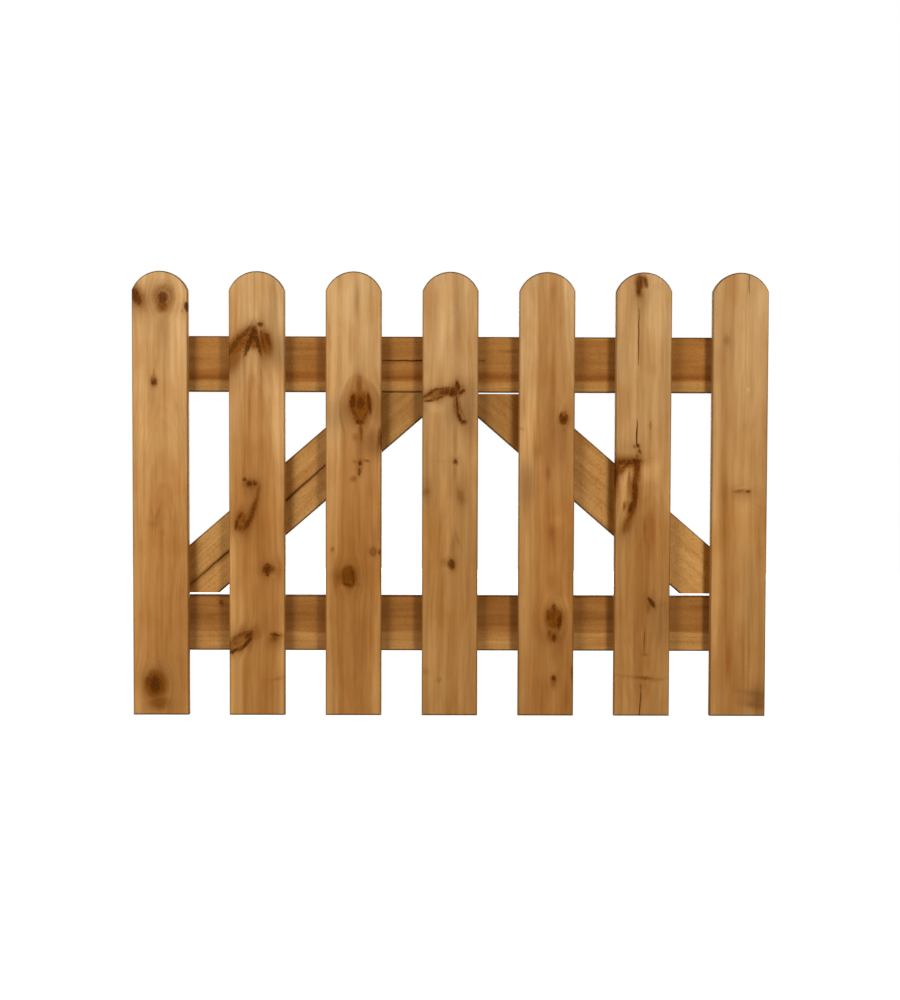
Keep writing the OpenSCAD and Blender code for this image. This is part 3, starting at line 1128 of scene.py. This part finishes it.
def marked_colour(finish, colour, layers, fleck):
    """Lays the marks over the timber, and breaks the resin of the knots up into flecks."""
    for layer, stain in LAYER_TINTS.items():
        if isinstance(layers[layer], Value):
            colour = finish.tint(colour, layers[layer], stain)
    if isinstance(layers["amber"], Value):
        colour = finish.mix(layers["amber"] * (LEAST_RESIN + fleck * AMBER_FLECKS), colour, KNOT_AMBER)
    if isinstance(layers["dark"], Value):
        dark = layers["dark"] * (LEAST_RESIN + fleck * DARK_FLECKS)
        resin = finish.mix(finish.step(dark, RESIN_THIN, RESIN_THICK), KNOT_EDGE, KNOT_HEART)
        colour = finish.mix(dark, colour, resin)
    return colour


print("resin is full from a fleck of", round((1 - LEAST_RESIN) / DARK_FLECKS, 2), "up")

# %% [markdown]
# ## Stain in the ends and arrises, painted shade on edges, in cracks and beside pales
# Stain sinks deepest where the pores are open, in the sawn ends and along the arrises of the rails and
# braces. The ends and edges could be given a material of their own, face by face, but then each would begin
# with a hard line. The normal of the surface says how far it has turned towards an end or an edge, and the
# colour deepens with it round the eased corner: stain at the ends and arrises, painted shade on the side
# edges of the pales. The cracks get painted shade by an attribute that the mesh carries, and the fronts of
# the rails and braces get painted shadow beside each pale, found by where it is in the gate.

# %% Stain in the ends and arrises, painted shade on edges, in cracks and beside pales
# How far a face has turned that way when its coat of stain and painted shade starts, and when it is full.
TOWARDS_END = (0.08, 0.6)
TOWARDS_EDGE = (0.12, 0.7)
TOWARDS_ARRIS = (0.04, 0.5)
TOWARDS_FRONT = (-0.3, -0.7)

# Painted shadow beside a pale, where the lamps leave the rails and braces in the pale's shadow. For each
# board: where the painted shadow starts and where it is full, as shares of the stride from one pale's left
# edge to the next, and how strong it is. Most bands lie at the right of each gap, and on the left brace they
# lie at the left of it.
STRIDE = pales[1].centre.x - pales[0].centre.x
FIRST_EDGE = pales[0].centre.x - STOCK_WIDTH / 2
PALE_SHADOW_BANDS = {
    "lower_rail": (0.925, 0.965, 0.25),
    "upper_rail": (0.925, 0.965, 0.20),
    "left_brace": (0.69, 0.61, 0.65),
    "right_brace": (0.925, 0.965, 0.85),
}


def stain_and_shade(finish, board, colour, point):
    """Stains sawn ends and arrises, and paints shade on pale edges, in cracks and beside each pale."""
    normal = finish.node("ShaderNodeTexCoord", out="Normal")
    lengthways = finish.vector("DOT_PRODUCT", normal, board.along, out="Value")
    sideways = finish.vector("DOT_PRODUCT", normal, board.across, out="Value")
    lengthways, sideways = finish.math("ABSOLUTE", lengthways), finish.math("ABSOLUTE", sideways)
    colour = finish.tint(colour, finish.step(lengthways, *TOWARDS_END), END_GRAIN)
    if board.slot == "pales":
        # Painted shade on the faces of a pale that turn to its sides.
        colour = finish.tint(colour, finish.step(sideways, *TOWARDS_EDGE), EDGE_SHADE)
    else:
        colour = finish.tint(colour, finish.step(sideways, *TOWARDS_ARRIS), DARK_ARRIS)
        # Painted shadow cast by each pale on the fronts of the rails and braces.
        start, full, strength = PALE_SHADOW_BANDS[board.node]
        front = finish.step(finish.parts(normal)[1], *TOWARDS_FRONT, 0.0, strength)
        bay = finish.math("FRACT", (finish.parts(point)[0] - FIRST_EDGE) / STRIDE)
        colour = finish.tint(colour, finish.step(bay, start, full) * front, PALE_SHADOW_TINT)
    # Painted shade in the cracks, read from the attribute that the mesh carries.
    crack_shade = finish.node("ShaderNodeAttribute", {"attribute_name": "crack"}, out="Fac")
    return finish.tint(colour, crack_shade, CRACK_SHADE)


print("gap between two pales:", round((STRIDE - STOCK_WIDTH) / MM), "mm")

# %% [markdown]
# ## The whole finish
# Now the fields and coats are put together. Weathered stain has hardly any sheen, so the highlight
# is kept low and the roughness high, a little rougher on the dark fibres. Fibres and rings also stand
# up by a fraction of a millimetre. That is too fine for the mesh and would cost millions of faces, so
# a Bump node lets the light see it, while the cracks and knots are real and come with the shape.

# %% The whole finish
# The reliefs are shares of the bump's height.
BUMP_HEIGHT = 0.3 * MM
BUMP_STRENGTH = 0.5
FIBRE_RELIEF, RING_RELIEF, HAIR_RELIEF = 0.9, 0.35, 0.5
ROUGHNESS, FIBRE_ROUGHNESS = 0.62, 0.2
SHEEN = 0.05


def wood_finish(board, grain, seed):
    finish = Finish("stained_" + board.node)
    point = finish.node("ShaderNodeTexCoord", out="Object")
    place = finish.node("ShaderNodeMapping", {"vector_type": "TEXTURE"}, {
        "Vector": point, "Location": board.centre, "Rotation": board.turn, "Scale": (MM, MM, MM)})
    wandering, trembling = bent_places(finish, place, seed)
    layers, swell, push = mark_fields(finish, board, grain, trembling)
    outward, late = ring_fields(finish, board, grain, wandering, swell, push, seed)
    sideways = finish.node("ShaderNodeCombineXYZ", {}, {0: push}) if grain.marks else (0, 0, 0)
    flowing = finish.vector("SUBTRACT", wandering, sideways)
    fields = {name: own_noise(finish, flowing, seed, recipe) for name, recipe in FIBRES.items()}
    fields["fleck"] = own_noise(finish, place, seed, FLECK)

    colour = timber_colour(finish, board, grain, place, outward, late, fields)
    colour = marked_colour(finish, colour, layers, fields["fleck"])
    finish.on("Base Color", stain_and_shade(finish, board, colour, point))
    finish.on("Roughness", ROUGHNESS + fields["fibre"] * FIBRE_ROUGHNESS)
    finish.on("Specular IOR Level", SHEEN)
    height = fields["fibre"] * FIBRE_RELIEF + late * RING_RELIEF + fields["hair"] * HAIR_RELIEF
    finish.on("Normal", finish.node("ShaderNodeBump", {}, {
        "Strength": BUMP_STRENGTH, "Distance": BUMP_HEIGHT, "Height": height}))
    return finish.material


print("fields of streaks in each finish:", ", ".join(FIBRES))

# %% [markdown]
# ## The outline of a board
# A pale begins as a square-ended board whose crown is sawn along an arc. Its outline could be typed
# in as a list of points, but a compass is truer: one point at the shoulder is spun round the middle
# of the arc to the other shoulder, and straight sides are drawn down to the foot. How far the
# crown rises is read off the frame's own pale. A rail is the plain case, a grid of one face.

# %% Outlines
CROWN_STEPS = 36
LEVEL = MM / 100


def crown_rise(board):
    """How far the crown stands above the shoulders, read off the frame's own pale."""
    low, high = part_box(board.node)
    side = [v.co.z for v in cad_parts[board.node].data.vertices if v.co.x < low.x + LEVEL]
    return high.z - max(side)


def pale_outline(bm, board):
    """The front of a pale: a crown swung from shoulder to shoulder, closed across the foot."""
    half, top, rise = board.width / 2, board.length / 2, crown_rise(board)
    radius = (half * half + rise * rise) / (2 * rise)
    shoulder = bm.verts.new((-half, board.front, top - rise))
    swing = 2 * asin(half / radius)
    bmesh.ops.spin(bm, geom=[shoulder], cent=(0, 0, top - radius), axis=(0, 1, 0), angle=swing,
                   steps=CROWN_STEPS, use_duplicate=False)
    bm.verts.ensure_lookup_table()
    ends = [v for v in bm.verts if len(v.link_edges) == 1]
    feet = bmesh.ops.extrude_vert_indiv(bm, verts=ends)["verts"]
    bmesh.ops.translate(bm, verts=feet, vec=(0, 0, -board.length + rise))
    bmesh.ops.contextual_create(bm, geom=feet)
    bmesh.ops.contextual_create(bm, geom=bm.edges[:])


def plank_outline(bm, board):
    """The front of a rail or a brace: a square-ended plank."""
    bmesh.ops.create_grid(bm, x_segments=1, y_segments=1, size=0.5)
    bmesh.ops.rotate(bm, verts=bm.verts, matrix=Matrix.Rotation(pi / 2, 3, "X"))
    bmesh.ops.scale(bm, verts=bm.verts, vec=(board.width, 1, board.length))
    bmesh.ops.translate(bm, verts=bm.verts, vec=(0, board.front, 0))


print("crown rise:", round(crown_rise(pales[0]) / MM, 1), "mm")

# %% [markdown]
# ## The body of a board
# The outline is pushed through the board's thickness and its edges are bevelled, which is what the
# planer does. A bevel modifier would ease the edges as well, but a brace is sawn after it was planed,
# so its cut must come after its bevel and leave a sharp corner. Last, the board is sliced lengthways
# and crossways into a fine net, because a crack or a proud knot needs points that it can move.

# %% Body
EASED_EDGE = 3.0 * MM
EDGE_SEGMENTS = 4
NET_COLUMNS = 40
NET_ACROSS = (STOCK_WIDTH - 2 * EASED_EDGE) / NET_COLUMNS
NET_ALONG = 4.0 * MM
SNAP = 0.02 * MM


def cut_level(bm, board):
    """Saws both ends of a leaning board level, so that it lies along the rails."""
    up = board.turn.to_matrix().inverted() @ Vector((0, 0, 1))
    for height in board.level_cuts:
        whole = bm.verts[:] + bm.edges[:] + bm.faces[:]
        cut = bmesh.ops.bisect_plane(bm, geom=whole, dist=SNAP, plane_co=up * height,
                                     plane_no=up * height, clear_outer=True)["geom_cut"]
        rim = [e for e in cut if isinstance(e, bmesh.types.BMEdge)]
        bmesh.ops.contextual_create(bm, geom=rim)


def slice_across(bm, way, places):
    """Slices the board across one way, at each of the places along it."""
    for place in places:
        whole = bm.verts[:] + bm.edges[:] + bm.faces[:]
        bmesh.ops.bisect_plane(bm, geom=whole, dist=SNAP, plane_co=way * place, plane_no=way)


def slice_net(bm, board):
    """Slices the board into a net of small faces, from its foot up and then from side to side."""
    end, side, rows = board.length / 2, board.width / 2 - EASED_EDGE, round(board.length / NET_ALONG)
    slice_across(bm, Vector((0, 0, 1)), [-end + 2 * end * row / rows for row in range(1, rows)])
    slice_across(bm, Vector((1, 0, 0)), [-side + 2 * side * column / NET_COLUMNS
                                         for column in range(NET_COLUMNS + 1)])


def board_body(board, outline):
    """A board in its sawn frame: outline, thickness, eased edges, sawn ends and net."""
    bm = bmesh.new()
    outline(bm, board)
    front = bm.faces[:]
    back = bmesh.ops.extrude_face_region(bm, geom=front)["geom"]
    moved = [v for v in back if isinstance(v, bmesh.types.BMVert)]
    bmesh.ops.translate(bm, verts=moved, vec=(0, board.thickness, 0))
    bmesh.ops.recalc_face_normals(bm, faces=bm.faces)
    rims = [e for e in bm.edges if abs(e.verts[0].co.y - e.verts[1].co.y) < LEVEL]
    bmesh.ops.bevel(bm, geom=rims, offset=EASED_EDGE, offset_type="OFFSET", segments=EDGE_SEGMENTS,
                    profile=0.5, affect="EDGES", material=-1, clamp_overlap=True)
    if board.level_cuts:
        cut_level(bm, board)
    slice_net(bm, board)
    bmesh.ops.recalc_face_normals(bm, faces=bm.faces)
    return bm


print("net of a board:", round(NET_ACROSS / MM, 2), "by", round(NET_ALONG / MM, 2), "mm")

# %% [markdown]
# ## Cracks
# As a board dries it shrinks and splits along the grain. A dark line painted on the face would look flat
# from the side, and cutting a wedge out with a Boolean leaves long thin faces. So the crack is opened in the
# net: its nearest line sinks to the bottom of the split, the two lines beside it draw in to become the lips,
# and the lines further out give way. The depth goes into an attribute as well, by which the finish paints
# shade into the crack.

# %% Cracks
# The lines within SETTLE of a crack give way to it. Its points are blunt where POINTED is low, and
# RUN_IN and DRAW_IN say how soon, from its ends, it has its full bend and its full width.
SETTLE = 12 * MM
WAVER, WAVER_LENGTH = 1.3 * MM, 16 * MM
POINTED = 0.6
RUN_IN, DRAW_IN = 6, 2.5
# The share of a crack's painted shade that its lips take.
LIP_SHADE = 0.25
ON_FRONT = MM / 50
THIS_LINE, NEXT_LINE = NET_ACROSS / 4, NET_ACROSS * 1.5


def open_crack(bm, board, crack, crack_shade_layer, seed):
    """Opens one crack in the front. It is widest half way, and comes to a point at both ends."""
    start_across, start_up, end_across, end_up, wide, deep = (value * MM for value in crack)
    start_up, end_up = start_up - board.length / 2, end_up - board.length / 2
    column = round((start_across + end_across) / 2 / NET_ACROSS) * NET_ACROSS
    front = [v for v in bm.verts if abs(v.co.y - board.front) < ON_FRONT]
    for v in front:
        share = (v.co.z - start_up) / (end_up - start_up)
        if not 0 < share < 1:
            continue
        off = v.co.x - column
        taper = sin(pi * share) ** POINTED
        waver = WAVER * noise.noise(Vector((seed, 0, v.co.z / WAVER_LENGTH)))
        centre = start_across + (end_across - start_across) * share + waver
        give = max(0.0, 1 - abs(off) / SETTLE) * min(1.0, RUN_IN * share, RUN_IN * (1 - share))
        drawn = min(1.0, DRAW_IN * taper)
        if abs(off) < THIS_LINE:
            v.co.x = column + (centre - column) * give
            v.co.y += deep * taper
            # The bottom of the crack takes its full painted shade.
            v[crack_shade_layer] = taper
        elif abs(off) < NEXT_LINE:
            lip = copysign(wide / 2 * taper, off)
            v.co.x = column + (centre - column) * give + lip * drawn + off * (1 - drawn)
            # The lips take a share of the painted shade.
            v[crack_shade_layer] = LIP_SHADE * taper
        else:
            v.co.x += (centre - column) * give


print("cracks:", sum(len(grain.cracks) for grain in pale_grains + rail_grains + brace_grains))

# %% [markdown]
# ## Nails
# The boards are nailed together from behind, so no head shows in front: two nails go through a rail
# or a brace into every pale that it crosses, askew, so that they don't split one line of grain. The
# hammer bruises the wood a little, and that is how the heads end up flush with the back. Heads that
# small could be dots in the finish, but they are metal and catch the light, so each is a short cone
# that narrows inwards. They are one piece, because nobody will ever take them apart.

# %% Where the nails go
NAIL_ASIDE, NAIL_ASKEW = STOCK_WIDTH / 4, STOCK_WIDTH / 5
CLEAR_OF_END = STOCK_WIDTH / 8


def nail_spots():
    """Where the nails go, seen from the back: pairs askew on the rails, pairs in line on the braces."""
    spots = []
    for pale in pales:
        x = pale.centre.x
        for rail in rails:
            for side in (-1, 1):
                spots.append((x + side * NAIL_ASIDE, rail.centre.z + side * NAIL_ASKEW))
        for brace in braces:
            slope = brace.along.z / brace.along.x
            for nail_x in (x - NAIL_ASIDE, x + NAIL_ASIDE):
                offset = nail_x - brace.centre.x
                nail_z = brace.centre.z + slope * offset
                if abs(nail_z - brace.centre.z) < -brace.level_cuts[0] - CLEAR_OF_END:
                    spots.append((nail_x, nail_z))
    return spots


spots = nail_spots()
print("nails:", len(spots))

# %% Nail heads
NAIL_HEAD, HEAD_TAPER = 5.5 * MM, 1.15
HEAD_THICKNESS = 0.9 * MM
HEAD_SUNK = 0.05 * MM
HEAD_SIDES = 20
ZINC_DARK, ZINC_LIGHT = (0.13, 0.13, 0.14, 1), (0.30, 0.30, 0.31, 1)
ZINC_CLOUDS = ((700, 700, 700), 4, 2, 0.6)
ZINC_ROUGHNESS, CLOUD_ROUGHNESS = 0.38, 0.3


def nail_finish():
    finish = Finish("galvanised_nails")
    point = finish.node("ShaderNodeTexCoord", out="Object")
    cloud = finish.noise(point, *ZINC_CLOUDS)
    finish.on("Base Color", finish.mix(cloud, ZINC_DARK, ZINC_LIGHT))
    finish.on("Metallic", 1.0)
    finish.on("Roughness", ZINC_ROUGHNESS + cloud * CLOUD_ROUGHNESS)
    return finish.material


nails_bm = bmesh.new()
for x, z in spots:
    head = bmesh.ops.create_cone(nails_bm, cap_ends=True, segments=HEAD_SIDES, depth=HEAD_THICKNESS,
                                 radius1=NAIL_HEAD / 2 / HEAD_TAPER, radius2=NAIL_HEAD / 2)["verts"]
    bmesh.ops.rotate(nails_bm, verts=head, matrix=Matrix.Rotation(-pi / 2, 3, "X"))
    bmesh.ops.translate(nails_bm, verts=head, vec=(x, -HEAD_SUNK - HEAD_THICKNESS / 2, z))
nails_mesh = bpy.data.meshes.new("nail_heads")
nails_bm.to_mesh(nails_mesh)
nails_bm.free()
nails = bpy.data.objects.new("nail_heads", nails_mesh)
bpy.context.scene.collection.objects.link(nails)
nails_mesh.materials.append(nail_finish())
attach(nails, "root")
print("faces on the nail heads:", len(nails_mesh.polygons))

# %% [markdown]
# ## Proud knots and bruises
# A knot is harder than the wood round it, so after planing and a few summers it stands a hair proud,
# and a fine groove runs round it. A bump in the material would show it from the front, but low light
# along the board shows the real shape, so the points of the net are moved. All movement is inwards:
# the face sinks round a knot, so the board never grows past its size in the frame. The hammer's
# bruises on the back are made the same way.

# %% Knots and bruises
# Distances from the middle of a knot are counted in its own half widths, so its outline is at 1.
KNOT_PROUD = 0.25 * MM
KNOT_SMALLEST = 9
KNOT_REACH = 2
KNOT_SHRINKS = 0.3
GROOVE_AT, GROOVE_WIDTH = 1.05, 0.22
BRUISE_DEPTH, BRUISE_REACH = 0.5 * MM, 5 * MM
ON_BACK = MM / 10


def raise_knots(bm, board, grain):
    """Lets the knots stand proud on both faces, where the softer wood has shrunk back."""
    ovals = [mark for mark in grain.marks if MARKS[mark[0]][1] and mark[3] > KNOT_SMALLEST]
    for v in bm.verts:
        if abs(v.co.y) < board.thickness / 2 - EASED_EDGE / 4:
            continue
        for _, across, up, wide, tall, tilt, strength in ovals:
            x, z = v.co.x / MM - across, (v.co.z + board.length / 2) / MM - up
            turn = radians(tilt)
            along, beside = z * cos(turn) + x * sin(turn), x * cos(turn) - z * sin(turn)
            away = hypot(beside / (wide / 2), along / (tall / 2))
            if away < KNOT_REACH:
                groove = exp(-((away - GROOVE_AT) / GROOVE_WIDTH) ** 2)
                sink = KNOT_PROUD * strength * (groove + KNOT_SHRINKS * exp(-away * away))
                v.co.y -= copysign(sink, v.co.y)


def bruise(bm, spots):
    """Sinks the back of a rail or brace round each nail."""
    for v in bm.verts:
        if v.co.y > -ON_BACK:
            away = min(hypot(v.co.x - x, v.co.z - z) for x, z in spots)
            v.co.y -= BRUISE_DEPTH * exp(-(away / BRUISE_REACH) ** 2)


print("knots that stand proud:", sum(1 for grain in pale_grains for mark in grain.marks
                                     if MARKS[mark[0]][1] and mark[3] > KNOT_SMALLEST))

# %% [markdown]
# ## Building the pales
# All the pales are cut from one pattern, so the pattern is made once and copied. Seven objects that
# share one mesh would be lighter still, but then they would share their cracks and knots too. Each
# copy gets its own cracks and its own piece of timber, and stands in for one board of the frame,
# whose name it carries with "timber" behind it.

# %% Pales
# The seed of a board moves its noise to a place of its own, and so does the number of a crack.
PALE_SEED, RAIL_SEED = 1, 11
BOARD_STEP, CRACK_STEP = 7.3, 2.9
SHARP_FROM = radians(40)


def finished_board(bm, board, grain, seed):
    """Cracks the board, raises its knots, stands it in the gate and hands it over to the frame."""
    # A layer for the painted shade of the cracks, which the finish reads.
    crack_shade_layer = bm.verts.layers.float.new("crack")
    for number, crack in enumerate(grain.cracks):
        open_crack(bm, board, crack, crack_shade_layer, seed * BOARD_STEP + number * CRACK_STEP)
    raise_knots(bm, board, grain)
    bmesh.ops.transform(bm, matrix=board.to_gate, verts=bm.verts)
    bruise(bm, spots)
    mesh = bpy.data.meshes.new(board.node + "_timber")
    bm.to_mesh(mesh)
    bm.free()
    mesh.shade_smooth()
    mesh.set_sharp_from_angle(angle=SHARP_FROM)
    piece = bpy.data.objects.new(board.node + "_timber", mesh)
    bpy.context.scene.collection.objects.link(piece)
    mesh.materials.append(wood_finish(board, grain, seed))
    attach(piece, "root")
    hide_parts(board.node)
    return piece


pattern = board_body(pales[0], pale_outline)
pattern_mesh = bpy.data.meshes.new("pale_pattern")
pattern.to_mesh(pattern_mesh)
pattern.free()
for seed, (board, grain) in enumerate(zip(pales, pale_grains), PALE_SEED):
    copy = bmesh.new()
    copy.from_mesh(pattern_mesh)
    piece = finished_board(copy, board, grain, seed)
bpy.data.meshes.remove(pattern_mesh)
print("pales:", len(pales), "of", len(piece.data.polygons), "faces each")

# %% [markdown]
# ## Building the rails and braces
# These four differ in length and in how their ends are sawn, so each is made from its own outline by
# the same steps. One long board, cut up, would save little and would tie their grain together. They
# lie flat against the backs of the pales, as the frame places them.

# %% Rails and braces
for seed, (board, grain) in enumerate(zip(rails + braces, rail_grains + brace_grains), RAIL_SEED):
    piece = finished_board(board_body(board, plank_outline), board, grain, seed)
    print(board.node, "faces:", len(piece.data.polygons))

# %% [markdown]
# ## Floor
# The gate is shown on a plain white ground that keeps its soft shadow. A pure white floor would throw
# a pale light up on the boards, and a strong lamp to whiten it would bleach them. So the floor is
# white only to the camera and in reflections, and a dim grey to the light that bounces off it. Near
# the gate it glows a little less than white, which leaves room for the shadow, and further off it
# fades into the backdrop.

# %% Floor
# Distances are in metres from the middle of the gate.
low, high = cad_box
middle = (low + high) / 2
WHITE = (1, 1, 1, 1)
FLOOR_BOUNCE = (0.12, 0.12, 0.12, 1)
FLOOR_SHADED = (0.2, 0.2, 0.2, 1)
FLOOR_GLOW = 0.93
FADE_STARTS, FADE_ENDS = 0.6, 2.0
FLOOR_REACH = 30


def ray_kind(tree, *kinds):
    """1 for the named kinds of ray, as a socket."""
    path = tree.nodes.new("ShaderNodeLightPath")
    total = path.outputs[kinds[0]]
    for kind in kinds[1:]:
        either = tree.nodes.new("ShaderNodeMath")
        either.operation = "MAXIMUM"
        tree.links.new(total, either.inputs[0])
        tree.links.new(path.outputs[kind], either.inputs[1])
        total = either.outputs[0]
    return total


def floor_finish():
    """White to the camera and in reflections, with the gate's shadow, and dim grey where it bounces."""
    finish = Finish("pale_floor")
    tree = finish.tree
    tree.nodes.remove(finish.shader)
    point = finish.node("ShaderNodeTexCoord", out="Object")
    away = finish.vector("DISTANCE", point, middle, out="Value")
    level = finish.step(away, FADE_STARTS, FADE_ENDS, FLOOR_GLOW, 1.0)
    bounce = finish.node("ShaderNodeBsdfDiffuse", {}, {"Color": FLOOR_BOUNCE})
    shaded = finish.node("ShaderNodeBsdfDiffuse", {}, {"Color": FLOOR_SHADED})
    glow = finish.node("ShaderNodeEmission", {}, {"Color": WHITE, "Strength": level})
    white = finish.node("ShaderNodeEmission", {}, {"Color": WHITE, "Strength": 1.0})
    shown = finish.node("ShaderNodeAddShader", {}, {0: shaded, 1: glow})
    camera = Value(finish, ray_kind(tree, "Is Camera Ray"))
    mirror = Value(finish, ray_kind(tree, "Is Glossy Ray", "Is Transmission Ray"))
    plain = finish.node("ShaderNodeMixShader", {}, {0: camera, 1: bounce, 2: shown})
    whole = finish.node("ShaderNodeMixShader", {}, {0: mirror, 1: plain, 2: white})
    tree.links.new(whole.socket, tree.nodes["Material Output"].inputs["Surface"])
    return finish.material


floor_bm = bmesh.new()
bmesh.ops.create_grid(floor_bm, x_segments=1, y_segments=1, size=FLOOR_REACH)
bmesh.ops.translate(floor_bm, verts=floor_bm.verts, vec=(middle.x, middle.y, low.z))
floor_mesh = bpy.data.meshes.new("floor")
floor_bm.to_mesh(floor_mesh)
floor_bm.free()
floor = bpy.data.objects.new("floor", floor_mesh)
bpy.context.scene.collection.objects.link(floor)
floor_mesh.materials.append(floor_finish())
floor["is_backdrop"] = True
print("floor, under the feet at:", round(low.z / MM), "mm")

# %% [markdown]
# ## Backdrop
# Behind the gate there is nothing but white. A wall could stand there, but it would cast light back
# on the boards and need an edge hidden somewhere. The world is simpler: it is white to the camera
# and in reflections, and gives the gate itself only a trace of fill light.

# %% Backdrop
FILL = 0.006
world = bpy.data.worlds.new("studio")
bpy.context.scene.world = world
world.use_nodes = True
tree = world.node_tree
backdrop = tree.nodes["Background"]
seen = ray_kind(tree, "Is Camera Ray", "Is Glossy Ray", "Is Transmission Ray")
strength = tree.nodes.new("ShaderNodeMapRange")
strength.inputs["To Min"].default_value = FILL
strength.inputs["To Max"].default_value = 1.0
tree.links.new(seen, strength.inputs["Value"])
tree.links.new(strength.outputs[0], backdrop.inputs["Strength"])
backdrop.inputs["Color"].default_value = WHITE
print("fill light:", FILL, "of the white that is seen")

# %% [markdown]
# ## Lamps
# Outdoors the sky lights a gate from all sides, but such light is flat and shows no edges. Two
# softboxes stand in front instead, high on either side, so every edge has a bright and a dark flank
# and each pale lays a shadow on the rails on both sides. The left box is larger, so its shadows are
# softer. A third box behind is there for whoever walks round to the back of the gate.

# %% Lamps
# Each softbox has its place in metres from the middle of the gate, its width in metres and its power
# in watts.
SOFTBOXES = {
    "right_softbox": ((1.64, -1.93, 0.75), 0.70, 45),
    "left_softbox": ((-1.79, -1.71, 0.75), 1.20, 46),
    "back_softbox": ((0.4, 2.6, 0.5), 2.2, 110),
}


def softbox(name, place, size, power):
    """A round diffuser, turned to face the middle of the gate."""
    lamp = bpy.data.lights.new(name, "AREA")
    lamp.shape = "DISK"
    lamp.size = size
    lamp.energy = power
    box = bpy.data.objects.new(name, lamp)
    box.location = middle + Vector(place)
    box.rotation_euler = (-Vector(place)).to_track_quat("-Z", "Y").to_euler()
    box.visible_camera = False
    bpy.context.scene.collection.objects.link(box)


for name, (place, size, power) in SOFTBOXES.items():
    softbox(name, place, size, power)
print("softboxes:", ", ".join(SOFTBOXES))

# %% [markdown]
# ## Camera
# The camera stands in front of the gate, a little above its middle, and looks down by two degrees
# and a half. It could stand nearer with a wide lens, but then the outer pales would show their sides
# and lean outwards. From almost three metres through a moderately long lens they stay upright.

# %% Camera
LENS, SENSOR = 64.05, 36.0
EYE_RIGHT, EYE_BACK, EYE_UP = -13.2 * MM, 2800 * MM, 113 * MM
PITCH, YAW, ROLL = radians(-2.48), radians(-0.27), radians(0.17)

camera = bpy.data.cameras.new("camera")
camera.lens, camera.sensor_width = LENS, SENSOR
eye = bpy.data.objects.new("camera", camera)
eye_place = Vector((middle.x + EYE_RIGHT, low.y - EYE_BACK, middle.z + EYE_UP))
aim = Euler((pi / 2 + PITCH, 0, YAW)).to_matrix() @ Matrix.Rotation(ROLL, 3, "Z")
eye.matrix_world = Matrix.Translation(eye_place) @ aim.to_4x4()
bpy.context.scene.collection.objects.link(eye)
bpy.context.scene.camera = eye
bpy.context.scene.view_settings.view_transform = "Standard"
print("camera:", round(EYE_BACK, 2), "m in front of the pales")

# %% [markdown]
# ## Sizes
# Last, the dressed gate is measured, as the bare one of the frame was at the start. The eye can't tell a
# board that has grown by a millimetre, but a fence is built to fit, so both boxes are kept side by side,
# where they can be compared.

# %% Sizes
sizes = {"cad": [list(corner) for corner in cad_box], "visual": [list(corner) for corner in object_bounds()]}
print("visual model, in mm:", [round(high / MM - low / MM, 1) for low, high in zip(*sizes["visual"])])
